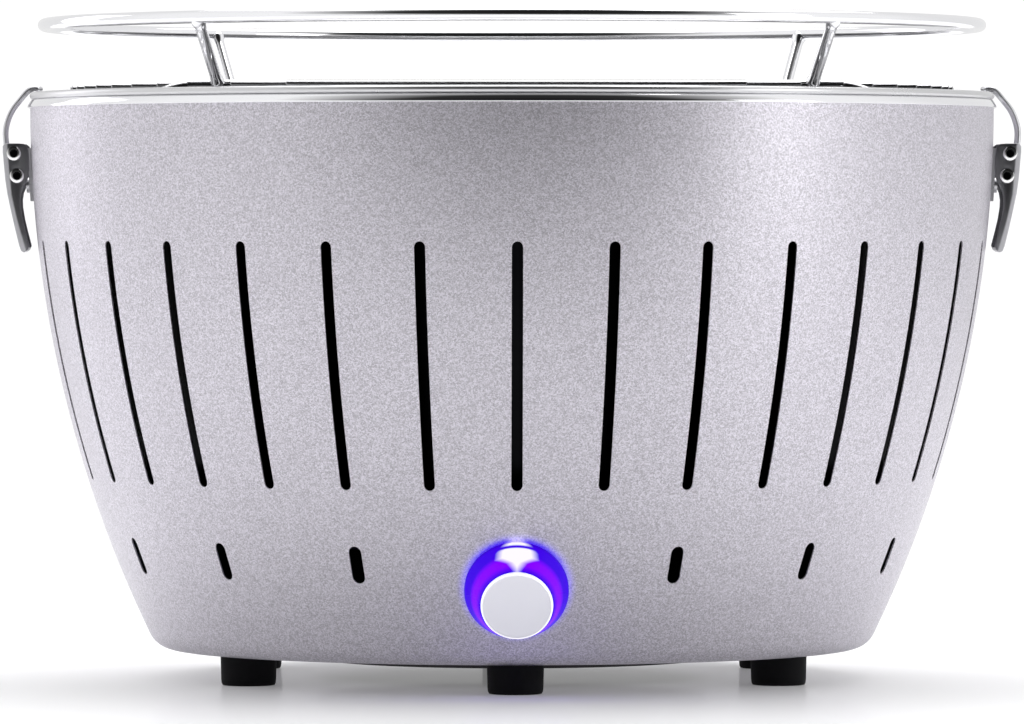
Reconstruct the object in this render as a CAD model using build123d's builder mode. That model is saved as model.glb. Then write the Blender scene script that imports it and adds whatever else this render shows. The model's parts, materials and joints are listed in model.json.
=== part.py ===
from build123d import *
import math
import os

# Portable tabletop grill with a double-walled bowl, two draw latches, a lift-off grate with a
# guard ring, and a battery-driven fan under a charcoal basket.  Millimetres, +Z up, origin on
# the floor at the centre of the base, the knob at the front (-Y).

os.makedirs("parts", exist_ok=True)

# Bowl
RIM_R = 174.4            # outer face of the bowl at its top edge
BOWL_TOP_Z = 206.0
FOOT_HEIGHT = 10.7       # the bowl's underside stands this far above the floor
WALL_ARC_R = 440.0       # radius of the bowl wall's upright curve
BOWL_WALL = 0.8
BOWL_CORNER_R = 9.5
LONG_SLOTS = 32
LONG_SLOT_WIDTH = 3.9
LONG_SLOT_LOW_Z = 72.3
LONG_SLOT_HIGH_Z = 158.3
SHORT_SLOT_WIDTH = 4.7
SHORT_SLOT_LOW_Z = 39.5
SHORT_SLOT_HIGH_Z = 52.6

# Rim trim and the liner's rolled edge
TRIM_HEIGHT = 3.0
TRIM_FLARE = 1.1         # how far the trim's skirt stands out past the bowl
TRIM_WIDTH = 2.0         # from the bowl's outer face in to the trim's inner edge
TRIM_LIP = 0.8           # height of the skirt's steep lower lip
TRIM_TAPER = 0.3         # how far the trim's top edge stands back from the bowl's face
BEAD_WIRE_R = 1.35
SHELF_DROP = 4.9         # from the top of the bead down to the shelf that carries the grate
WEB_INSET = 2.4          # from the bowl's outer face in to the web under the bead

# Liner
LINER_GAP = 12.0         # from the bowl's outer face to the liner's outer face
LINER_WALL = 0.8
LINER_BOTTOM_Z = 50.0
LINER_CORNER_R = 30.0
NECK_R = 42.0
NECK_TOP_Z = 66.0

# Grate
WIRE_PITCH = 13.2
WIRE_R = 1.5
WIRE_INSET = 14.4        # from the bowl's rim in to the circle that the wires' ends lie on
ROD_PAIR = 8             # the pair of wires, counted from the middle, that is thick rod
ROD_R = 2.1
ROD_INSET = 6.8
ROD_BEND = 11.5          # length of each rod's turned-down end
ROD_BEND_R = 18.0
GRATE_RING_INSET = 17.4
GRATE_RING_WIRE_R = 2.0
DRIP_PLATE_R = 60.0
DRIP_PLATE_WALL = 1.1

# Guard ring and its four posts
GUARD_INSET = 5.0
GUARD_WIRE_R = 2.25
GUARD_RISE = 30.0        # from the bowl's rim up to the guard ring
POST_R = 2.0
POST_FOOT_INSET = 70.9
POST_TURN = 2.8          # degrees each post's top is turned past its foot

# Draw latches, given as (radius, height) in the latch's own upright plane
PIVOT_OUT = 5.6          # out from the bowl's rim to the pivot pin
PIVOT_DROP = 16.3        # down from the bowl's rim to the pivot pin
BAIL_PIN_IN = 1.1        # in and down from the pivot pin to the bail pin
BAIL_PIN_DROP = 8.1
PIVOT_PIN_R = 1.6
BAIL_PIN_R = 1.5
PIN_HEAD_R = 2.7
PIN_HEAD_HEIGHT = 1.0
PIN_DIMPLE = 0.6
PIN_END_GAP = 0.2        # from the lever's side to the head of a pin
SHAFT_CLEARANCE = 0.05
LEVER_HALF_WIDTH = 10.0
LEVER_SHEET = 1.1
LEVER_SLOT_HALF = 6.0
LEVER_SLOT_DROP = 34.5   # down from the bowl's rim to the foot of the lever's slot
BAIL_HALF_WIDTH = 4.0
BAIL_WIRE_R = 0.9
BRACKET_SHEET = 1.2
BRACKET_DROP = 14.4      # down from the bowl's rim to the bracket's top
BRACKET_HEIGHT = 19.2
EAR_OUTER_Y = 8.1
EAR_R = 2.7
RIVET_DROP = 27.7        # down from the bowl's rim to the rivet
RIVET_R = 2.0
RIVET_HEAD_R = 2.9
RIVET_HEAD_HEIGHT = 1.2

# Feet
FEET = 6
FOOT_INSET = 19.68       # in from where the wall's curve meets the underside
FOOT_R = 9.7
FOOT_TOP_R = 10.1
FOOT_EDGE_R = 1.0
FOOT_SCREW_R = 2.0
SCREW_TAIL = 5.0         # length of each foot screw above the bowl's floor
SCREW_HEAD_HEIGHT = 2.4
SCREW_SOCKET_R = 1.9
SCREW_SOCKET_DEPTH = 1.2
FOOT_NUT_R = 4.0
FOOT_NUT_HEIGHT = 3.2
SCREW_HEAD_R = 3.8
HOLE_CLEARANCE = 0.1

# Base housing, battery bay and cover
HOUSING_R = 70.0
HOUSING_WALL = 2.5
HOUSING_FLOOR = 2.0
HOUSING_LOW_Z = 6.7
HOUSING_TOP_Z = 28.5
HOUSING_FLANGE = 10.0
HOUSING_SCREWS = 4
HOUSING_SCREW_R = 1.5
HOUSING_SCREW_HEAD = 1.8
CROSS_SLOT = (3.6, 0.8)  # length and width of each arm of the screws' cross recess
CROSS_SLOT_DEPTH = 0.9
HOUSING_FLANGE_WALL = 2.0
LEAD_HOLE_R = 3.0
LEAD_HOLE_INSET = 10.0
DECK_WALL = 2.0
COVER_R = 42.7
COVER_CLEARANCE = 0.3
COVER_TABS = 3
COVER_TAB = (4.4, 10.0)  # length and width of each tab
COVER_TAB_WALL = 1.6
COVER_NOTCH = (6.0, 12.0)
COIN_SLOT = (26.0, 2.6)
COIN_SLOT_DEPTH = 1.2
SEAL_WIRE_R = 1.0
CELL_R = 7.1
CELL_LENGTH = 50.5
CELL_COUNT = 4
CELL_PITCH = 14.8
CELL_LOW_Z = 11.2
CELL_EDGE_R = 0.8
CELL_NUB_R = 2.7
CELL_NUB_HEIGHT = 1.2
CONTACT_SHEET = 0.5
CONTACT_SIZE = (9.0, 10.0)
TRAY_WALL = 2.0

# Fan
DUCT_R = 37.5
DUCT_WALL = 2.0
DUCT_LOW_Z = 44.0
DUCT_TOP_Z = 62.0
DUCT_FLANGE = 12.5
FAN_POST_R = 2.6
FAN_POST_OUT = 9.0       # from the duct's bore out to the posts it stands on
FAN_ARM_WIDTH = 5.0
MOTOR_R = 11.5
MOTOR_HEIGHT = 12.0
HUB_R = 14.0
BLADES = 7
BLADE_GAP = 1.0
BLADE_CHORD = 10.0
BLADE_WALL = 1.2
BLADE_PITCH = 40.0       # degrees
HUB_WALL = 1.6
HUB_GAP = 1.5            # from the motor's top to the hub's underside
SHAFT_R = 1.5

# Charcoal basket and the plate it stands on
FIRE_PLATE_R = 60.0
FIRE_PLATE_WALL = 1.2
BASKET_R = 68.0
BASKET_WALL = 1.0
BASKET_HEIGHT = 50.0
HANDLE_WIRE_R = 1.5
HANDLE_RISE = 17.0
HANDLE_BEND_R = 12.0
BASKET_SLOTS = 24
BASKET_SLOT_WIDTH = 5.0
BASKET_HOLE_R = 2.5
PLATE_HOLE_R = 2.2
REST_GAP = 0.3           # gap between a lift-out piece and what it stands on

# Knob
KNOB_Z = 38.4
KNOB_BASE_R = 18.1
KNOB_TIP_R = 12.8
KNOB_CAP_R = 12.4
KNOB_HEIGHT = 13.6
KNOB_CAP_HEIGHT = 1.6
KNOB_GAP = 0.9
KNOB_SHAFT_R = 3.0
BUSHING_R = 4.5
SWITCH_NUT_R = 7.0
SWITCH_NUT_HEIGHT = 2.4
KNOB_WALL = 3.0
KNOB_HUB_WALL = 2.5
KNOB_HUB_OUT = 4.5       # how far out from the bowl the knob's hub starts
CAP_EDGE_R = 0.5
LAMP_INNER_R = 8.5
LAMP_WALL = 3.6
NUT_GAP = 0.4
SWITCH_SIZE = 20.0
SWITCH_DEPTH = 14.0
SWITCH_GAP = 3.0         # from the bowl's outer face in to the switch's front
BOARD_X = 22.0
BOARD_RISE = 2.0
BOARD_SHEET = 1.6
BOARD_SIZE = (34.0, 18.0)
BOARD_INSET = 16.0       # from the housing's outer face in to the board's middle
SPACER_GRID = (28.0, 12.0)
SPACER_R = 1.8
COMPONENT_HEIGHT = 3.4
COIL_R = 2.6
LEAD_R = 1.0

# Heights and radii that follow from the sizes above
TRIM_TOP_Z = BOWL_TOP_Z + TRIM_HEIGHT
BEAD_Z = TRIM_TOP_Z + BEAD_WIRE_R
BEAD_R = RIM_R - BEAD_WIRE_R + 0.2
BEAD_TOP_Z = BEAD_Z + BEAD_WIRE_R
SHELF_Z = BEAD_TOP_Z - SHELF_DROP
GRATE_Z = BEAD_TOP_Z + WIRE_R - 0.7
WIRE_END_R = RIM_R - WIRE_INSET
WIRE_PAIRS = int(WIRE_END_R / WIRE_PITCH - 1.0)
ROD_END_R = RIM_R - ROD_INSET
ROD_Y = (ROD_PAIR + 0.5) * WIRE_PITCH
ROD_END_Z = SHELF_Z + ROD_R
ROD_END_X = math.sqrt(ROD_END_R ** 2 - ROD_Y ** 2)
GRATE_RING_R = RIM_R - GRATE_RING_INSET
GRATE_RING_Z = GRATE_Z - WIRE_R - GRATE_RING_WIRE_R
GUARD_R = RIM_R - GUARD_INSET
GUARD_Z = BOWL_TOP_Z + GUARD_RISE
POST_FOOT_X = RIM_R - POST_FOOT_INSET
PIVOT_PIN = (RIM_R + PIVOT_OUT, BOWL_TOP_Z - PIVOT_DROP)
BAIL_PIN = (PIVOT_PIN[0] - BAIL_PIN_IN, PIVOT_PIN[1] - BAIL_PIN_DROP)
LEVER_SLOT_LOW_Z = BOWL_TOP_Z - LEVER_SLOT_DROP
BRACKET_HIGH_Z = BOWL_TOP_Z - BRACKET_DROP
BRACKET_LOW_Z = BRACKET_HIGH_Z - BRACKET_HEIGHT
RIVET_Z = BOWL_TOP_Z - RIVET_DROP
UNDERSIDE_R = RIM_R - WALL_ARC_R + math.sqrt(WALL_ARC_R ** 2 - (BOWL_TOP_Z - FOOT_HEIGHT) ** 2)
FOOT_CIRCLE_R = UNDERSIDE_R - FOOT_INSET
FLOOR_TOP_Z = FOOT_HEIGHT + BOWL_WALL
HOUSING_FLOOR_Z = HOUSING_LOW_Z + HOUSING_FLOOR
DECK_Z = HOUSING_TOP_Z + DECK_WALL
CELL_Z = CELL_LOW_Z + CELL_R
MOTOR_Z = DUCT_LOW_Z + 2.0
FIRE_PLATE_Z = NECK_TOP_Z + FIRE_PLATE_WALL
BASKET_Z = FIRE_PLATE_Z + REST_GAP
BASKET_TOP_Z = BASKET_Z + BASKET_HEIGHT
LATCHES = {"right": 0.0, "left": 180.0}


def wall_radius(height, inset=0.0):
    """Radius of the bowl's outer face at a height, or of a face that far inside it."""
    rise = BOWL_TOP_Z - height
    return RIM_R - WALL_ARC_R + math.sqrt((WALL_ARC_R - inset) ** 2 - rise ** 2)


def meridian(azimuth, offset=0.0):
    """Upright plane through the axis: local x runs outwards, local y runs up."""
    angle = math.radians(azimuth)
    outward = Vector(math.cos(angle), math.sin(angle), 0)
    normal = Vector(math.sin(angle), -math.cos(angle), 0)
    return Plane(origin=normal * offset, x_dir=outward, z_dir=normal)


def facing(azimuth, height, radius=0.0):
    """Upright plane that faces outwards: local x runs sideways, local y runs up."""
    angle = math.radians(azimuth)
    outward = Vector(math.cos(angle), math.sin(angle), 0)
    sideways = Vector(-math.sin(angle), math.cos(angle), 0)
    return Plane(origin=outward * radius + Vector(0, 0, height), x_dir=sideways, z_dir=outward)


def on_wall(azimuth, height, offset=0.0):
    """Plane that touches the bowl's outer face at a height, or stands this far out from it."""
    slope = math.asin((BOWL_TOP_Z - height) / WALL_ARC_R)
    level = facing(azimuth, height, wall_radius(height))
    normal = level.z_dir * math.cos(slope) - Vector(0, 0, math.sin(slope))
    return Plane(origin=level.origin + normal * offset, x_dir=level.x_dir, z_dir=normal)


def knob_plane(offset=0.0):
    """Plane across the knob's axis, this far out from the bowl's outer face."""
    return on_wall(-90, KNOB_Z, offset)


def save(part, name):
    """Label one sub-part and write its STEP file."""
    part.label = name
    export_step(part, f"parts/{name}.step")
    print(f"{name}: {len(part.solids())} solid(s), {part.volume:.0f} mm3")


def make_outer_bowl():
    middle = (FOOT_HEIGHT + BOWL_TOP_Z) / 2
    with BuildPart() as outer_bowl:
        with BuildSketch(Plane.XZ) as section:
            with BuildLine():
                Line((HOUSING_R + HOLE_CLEARANCE, FOOT_HEIGHT), (wall_radius(FOOT_HEIGHT), FOOT_HEIGHT))
                ThreePointArc(
                    (wall_radius(FOOT_HEIGHT), FOOT_HEIGHT),
                    (wall_radius(middle), middle),
                    (wall_radius(BOWL_TOP_Z), BOWL_TOP_Z),
                )
                Line((RIM_R, BOWL_TOP_Z), (RIM_R - BOWL_WALL, BOWL_TOP_Z))
                ThreePointArc(
                    (RIM_R - BOWL_WALL, BOWL_TOP_Z),
                    (wall_radius(middle, BOWL_WALL), middle),
                    (wall_radius(FLOOR_TOP_Z, BOWL_WALL), FLOOR_TOP_Z),
                )
                Line(
                    (wall_radius(FLOOR_TOP_Z, BOWL_WALL), FLOOR_TOP_Z),
                    (HOUSING_R + HOLE_CLEARANCE, FLOOR_TOP_Z),
                )
                Line((HOUSING_R + HOLE_CLEARANCE, FLOOR_TOP_Z), (HOUSING_R + HOLE_CLEARANCE, FOOT_HEIGHT))
            make_face()
            outer = section.vertices().sort_by_distance((wall_radius(FOOT_HEIGHT), FOOT_HEIGHT, 0))[0]
            fillet(outer, BOWL_CORNER_R)
            inner = section.vertices().sort_by_distance(
                (wall_radius(FLOOR_TOP_Z, BOWL_WALL), FLOOR_TOP_Z, 0)
            )[0]
            fillet(inner, BOWL_CORNER_R - BOWL_WALL)
        revolve(axis=Axis.Z)
        # Long air slots all round, with one at the front
        for step in range(LONG_SLOTS):
            azimuth = -90 + step * 360 / LONG_SLOTS
            with BuildSketch(facing(azimuth, (LONG_SLOT_LOW_Z + LONG_SLOT_HIGH_Z) / 2)):
                SlotOverall(LONG_SLOT_HIGH_Z - LONG_SLOT_LOW_Z, LONG_SLOT_WIDTH, rotation=90)
        # Short slots under every second long one, except where the knob is
        for step in range(1, LONG_SLOTS // 2):
            azimuth = -90 + step * 720 / LONG_SLOTS
            with BuildSketch(facing(azimuth, (SHORT_SLOT_LOW_Z + SHORT_SLOT_HIGH_Z) / 2)):
                SlotOverall(SHORT_SLOT_HIGH_Z - SHORT_SLOT_LOW_Z, SHORT_SLOT_WIDTH, rotation=90)
        extrude(amount=RIM_R + 10, mode=Mode.SUBTRACT)
        with BuildSketch(knob_plane(-5)):
            Circle(BUSHING_R + HOLE_CLEARANCE)
        extrude(amount=10, mode=Mode.SUBTRACT)
        with BuildSketch(Plane.XY):
            with PolarLocations(FOOT_CIRCLE_R, FEET, start_angle=-90):
                Circle(FOOT_SCREW_R + HOLE_CLEARANCE)
            with PolarLocations(HOUSING_R + HOUSING_FLANGE / 2, HOUSING_SCREWS, start_angle=45):
                Circle(HOUSING_SCREW_R + HOLE_CLEARANCE)
        extrude(amount=FLOOR_TOP_Z + 1, mode=Mode.SUBTRACT)
    save(outer_bowl.part, "outer_bowl")


def make_rim_trim():
    inner = RIM_R - TRIM_WIDTH
    with BuildPart() as rim_trim:
        with BuildSketch(Plane.XZ):
            with BuildLine():
                Polyline(
                    (inner, BOWL_TOP_Z),
                    (RIM_R + TRIM_FLARE, BOWL_TOP_Z),
                    (RIM_R + TRIM_FLARE - TRIM_LIP / 4, BOWL_TOP_Z + TRIM_LIP),
                    (RIM_R - TRIM_TAPER, TRIM_TOP_Z),
                    (inner, TRIM_TOP_Z),
                    close=True,
                )
            make_face()
        revolve(axis=Axis.Z)
    save(rim_trim.part, "rim_trim")


def make_inner_bowl():
    low_in = LINER_BOTTOM_Z + LINER_WALL
    middle = (LINER_BOTTOM_Z + SHELF_Z) / 2
    gap_in = LINER_GAP + LINER_WALL
    web_out = RIM_R - WEB_INSET
    with BuildPart() as inner_bowl:
        with BuildSketch(Plane.XZ) as section:
            with BuildLine():
                Line((NECK_R, LINER_BOTTOM_Z), (wall_radius(LINER_BOTTOM_Z, LINER_GAP), LINER_BOTTOM_Z))
                ThreePointArc(
                    (wall_radius(LINER_BOTTOM_Z, LINER_GAP), LINER_BOTTOM_Z),
                    (wall_radius(middle, LINER_GAP), middle),
                    (wall_radius(SHELF_Z, LINER_GAP), SHELF_Z),
                )
                Line((wall_radius(SHELF_Z, LINER_GAP), SHELF_Z), (wall_radius(SHELF_Z, gap_in), SHELF_Z))
                ThreePointArc(
                    (wall_radius(SHELF_Z, gap_in), SHELF_Z),
                    (wall_radius(middle, gap_in), middle),
                    (wall_radius(low_in, gap_in), low_in),
                )
                Line((wall_radius(low_in, gap_in), low_in), (NECK_R, low_in))
                Line((NECK_R, low_in), (NECK_R, LINER_BOTTOM_Z))
            make_face()
            outer = section.vertices().sort_by_distance(
                (wall_radius(LINER_BOTTOM_Z, LINER_GAP), LINER_BOTTOM_Z, 0)
            )[0]
            fillet(outer, LINER_CORNER_R)
            inner = section.vertices().sort_by_distance((wall_radius(low_in, gap_in), low_in, 0))[0]
            fillet(inner, LINER_CORNER_R - LINER_WALL)
            with Locations((NECK_R, LINER_BOTTOM_Z)):
                Rectangle(LINER_WALL, NECK_TOP_Z - LINER_BOTTOM_Z, align=Align.MIN)
            # Shelf for the grate, upright web and rolled bead
            shelf_in = wall_radius(SHELF_Z, gap_in)
            with Locations((shelf_in, SHELF_Z - LINER_WALL)):
                Rectangle(web_out - shelf_in, LINER_WALL, align=Align.MIN)
            with Locations((web_out - LINER_WALL, SHELF_Z - LINER_WALL)):
                Rectangle(LINER_WALL, BEAD_Z - SHELF_Z + LINER_WALL, align=Align.MIN)
            with Locations((BEAD_R, BEAD_Z)):
                Circle(BEAD_WIRE_R)
        revolve(axis=Axis.Z)
    save(inner_bowl.part, "inner_bowl")


def make_feet():
    for index in range(FEET):
        angle = math.radians(-90 + index * 360 / FEET)
        place = (FOOT_CIRCLE_R * math.cos(angle), FOOT_CIRCLE_R * math.sin(angle), 0)
        with BuildPart() as foot:
            with BuildSketch(Plane(origin=place)):
                Circle(FOOT_R)
            with BuildSketch(Plane(origin=place).offset(FOOT_HEIGHT)):
                Circle(FOOT_TOP_R)
            loft()
            fillet(foot.edges().sort_by(Axis.Z)[0], FOOT_EDGE_R)
            with BuildSketch(Plane(origin=place)):
                Circle(FOOT_SCREW_R + HOLE_CLEARANCE)
            extrude(amount=FOOT_HEIGHT, mode=Mode.SUBTRACT)
            with BuildSketch(Plane(origin=place)):
                Circle(SCREW_HEAD_R + 3 * HOLE_CLEARANCE)
            extrude(amount=FOOT_HEIGHT / 2, mode=Mode.SUBTRACT)
        save(foot.part, f"foot_{index + 1}")


def make_foot_screws():
    head_z = FOOT_HEIGHT / 2
    with BuildPart() as foot_screws:
        with BuildSketch(Plane.XY.offset(head_z)):
            with PolarLocations(FOOT_CIRCLE_R, FEET, start_angle=-90):
                Circle(SCREW_HEAD_R)
        extrude(amount=-SCREW_HEAD_HEIGHT)
        with BuildSketch(Plane.XY.offset(head_z)):
            with PolarLocations(FOOT_CIRCLE_R, FEET, start_angle=-90):
                Circle(FOOT_SCREW_R)
        extrude(amount=FLOOR_TOP_Z + SCREW_TAIL - head_z)
        with BuildSketch(Plane.XY.offset(head_z - SCREW_HEAD_HEIGHT)):
            with PolarLocations(FOOT_CIRCLE_R, FEET, start_angle=-90):
                RegularPolygon(SCREW_SOCKET_R, 6)
        extrude(amount=SCREW_SOCKET_DEPTH, mode=Mode.SUBTRACT)
    save(foot_screws.part, "foot_screws")
    with BuildPart() as foot_nuts:
        with BuildSketch(Plane.XY.offset(FLOOR_TOP_Z)):
            with PolarLocations(FOOT_CIRCLE_R, FEET, start_angle=-90):
                RegularPolygon(FOOT_NUT_R, 6)
                Circle(FOOT_SCREW_R, mode=Mode.SUBTRACT)
        extrude(amount=FOOT_NUT_HEIGHT)
    save(foot_nuts.part, "foot_nuts")


def make_grate():
    with BuildPart() as grate_wires:
        for pair in range(WIRE_PAIRS):
            if pair == ROD_PAIR:
                continue
            across = (pair + 0.5) * WIRE_PITCH
            half = math.sqrt(WIRE_END_R ** 2 - across ** 2)
            with BuildSketch(Plane.YZ.offset(-half)):
                with Locations((across, GRATE_Z), (-across, GRATE_Z)):
                    Circle(WIRE_R)
            extrude(amount=2 * half)
    save(grate_wires.part, "grate_wires")

    for name, side in (("front", -1), ("back", 1)):
        with BuildPart() as support_rod:
            with BuildLine() as path:
                FilletPolyline(
                    (-ROD_END_X, side * ROD_Y, ROD_END_Z),
                    (-ROD_END_X + ROD_BEND, side * ROD_Y, GRATE_Z),
                    (ROD_END_X - ROD_BEND, side * ROD_Y, GRATE_Z),
                    (ROD_END_X, side * ROD_Y, ROD_END_Z),
                    radius=ROD_BEND_R,
                )
            with BuildSketch(Plane(origin=path.line @ 0, z_dir=path.line % 0)):
                Circle(ROD_R)
            sweep()
        save(support_rod.part, f"support_rod_{name}")

    with BuildPart() as grate_ring:
        with Locations((0, 0, GRATE_RING_Z)):
            Torus(GRATE_RING_R, GRATE_RING_WIRE_R)
        # Saddles where the ring is notched to clear the two thick rods
        with BuildSketch(Plane.YZ.offset(-GRATE_RING_R)):
            with Locations((ROD_Y, GRATE_Z), (-ROD_Y, GRATE_Z)):
                Circle(ROD_R)
        extrude(amount=2 * GRATE_RING_R, mode=Mode.SUBTRACT)
    save(grate_ring.part, "grate_ring")

    with BuildPart() as drip_plate:
        with BuildSketch(Plane.XY.offset(GRATE_Z - WIRE_R)):
            Circle(DRIP_PLATE_R)
        extrude(amount=-DRIP_PLATE_WALL)
    save(drip_plate.part, "drip_plate")


def make_guard():
    with BuildPart() as guard_ring:
        with Locations((0, 0, GUARD_Z)):
            Torus(GUARD_R, GUARD_WIRE_R)
    save(guard_ring.part, "guard_ring")

    # Each post leans outwards from a thick rod to the ring
    lean = math.atan2(ROD_Y, POST_FOOT_X) + math.radians(POST_TURN)
    number = 0
    for side_x, side_y in ((1, -1), (1, 1), (-1, 1), (-1, -1)):
        number += 1
        low = Vector(side_x * POST_FOOT_X, side_y * ROD_Y, GRATE_Z)
        high = Vector(side_x * GUARD_R * math.cos(lean), side_y * GUARD_R * math.sin(lean), GUARD_Z)
        with BuildPart() as post:
            with BuildSketch(Plane(origin=low, z_dir=high - low)):
                Circle(POST_R)
            extrude(amount=(high - low).length)
            with BuildSketch(Plane.YZ.offset(-GUARD_R)):
                with Locations((side_y * ROD_Y, GRATE_Z)):
                    Circle(ROD_R)
            extrude(amount=2 * GUARD_R, mode=Mode.SUBTRACT)
            # Saddle under the ring, whose wire runs straight over so short a width
            along = Vector(-high.Y, high.X, 0)
            with BuildSketch(Plane(origin=high, z_dir=along)):
                Circle(GUARD_WIRE_R)
            extrude(amount=3 * POST_R, both=True, mode=Mode.SUBTRACT)
        save(post.part, f"guard_post_{number}")


def lever_outer_edge():
    """Outer edge of the lever's side, from its top down to the finger end."""
    pin_r, pin_z = PIVOT_PIN
    return [
        (pin_r + 4.5, pin_z + 3.6),
        (pin_r + 2.8, pin_z - 15.0),
        (pin_r + 0.6, pin_z - 24.1),
        (pin_r - 3.0, pin_z - 35.9),
    ]


def lever_inner_edge():
    """Inner edge of the lever's side, from the finger end up to its top."""
    pin_r, pin_z = PIVOT_PIN
    return [
        (pin_r - 5.9, pin_z - 35.9),
        (pin_r - 4.1, pin_z - 27.0),
        (pin_r - 2.3, pin_z - 19.0),
        (pin_r - 2.3, pin_z - 16.8),
        (pin_r - 5.5, pin_z - 8.9),
        (pin_r - 5.1, pin_z + 0.9),
        (pin_r - 2.6, pin_z + 3.6),
    ]


def make_latch_fasteners():
    # Rivets that fix the brackets' tails to the bowl
    with BuildPart() as bracket_rivets:
        for azimuth in LATCHES.values():
            with BuildSketch(on_wall(azimuth, RIVET_Z, BRACKET_SHEET)):
                Circle(RIVET_HEAD_R)
            extrude(amount=RIVET_HEAD_HEIGHT)
            with BuildSketch(on_wall(azimuth, RIVET_Z, BRACKET_SHEET)):
                Circle(RIVET_R)
            extrude(amount=-BRACKET_SHEET + HOLE_CLEARANCE)
    save(bracket_rivets.part, "bracket_rivets")

    # Pivot pins through the ears and the levers
    with BuildPart() as latch_pivot_pins:
        for azimuth in LATCHES.values():
            with BuildSketch(meridian(azimuth)):
                with Locations(PIVOT_PIN):
                    Circle(PIVOT_PIN_R)
            extrude(amount=LEVER_HALF_WIDTH + PIN_END_GAP, both=True)
            for way in (1, -1):
                face = way * (LEVER_HALF_WIDTH + PIN_END_GAP)
                with BuildSketch(meridian(azimuth, face)):
                    with Locations(PIVOT_PIN):
                        Circle(PIN_HEAD_R)
                extrude(amount=way * PIN_HEAD_HEIGHT)
                with BuildSketch(meridian(azimuth, face + way * PIN_HEAD_HEIGHT)):
                    with Locations(PIVOT_PIN):
                        Circle(PIN_HEAD_R / 2)
                extrude(amount=-way * PIN_DIMPLE, mode=Mode.SUBTRACT)
    save(latch_pivot_pins.part, "latch_pivot_pins")


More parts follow.
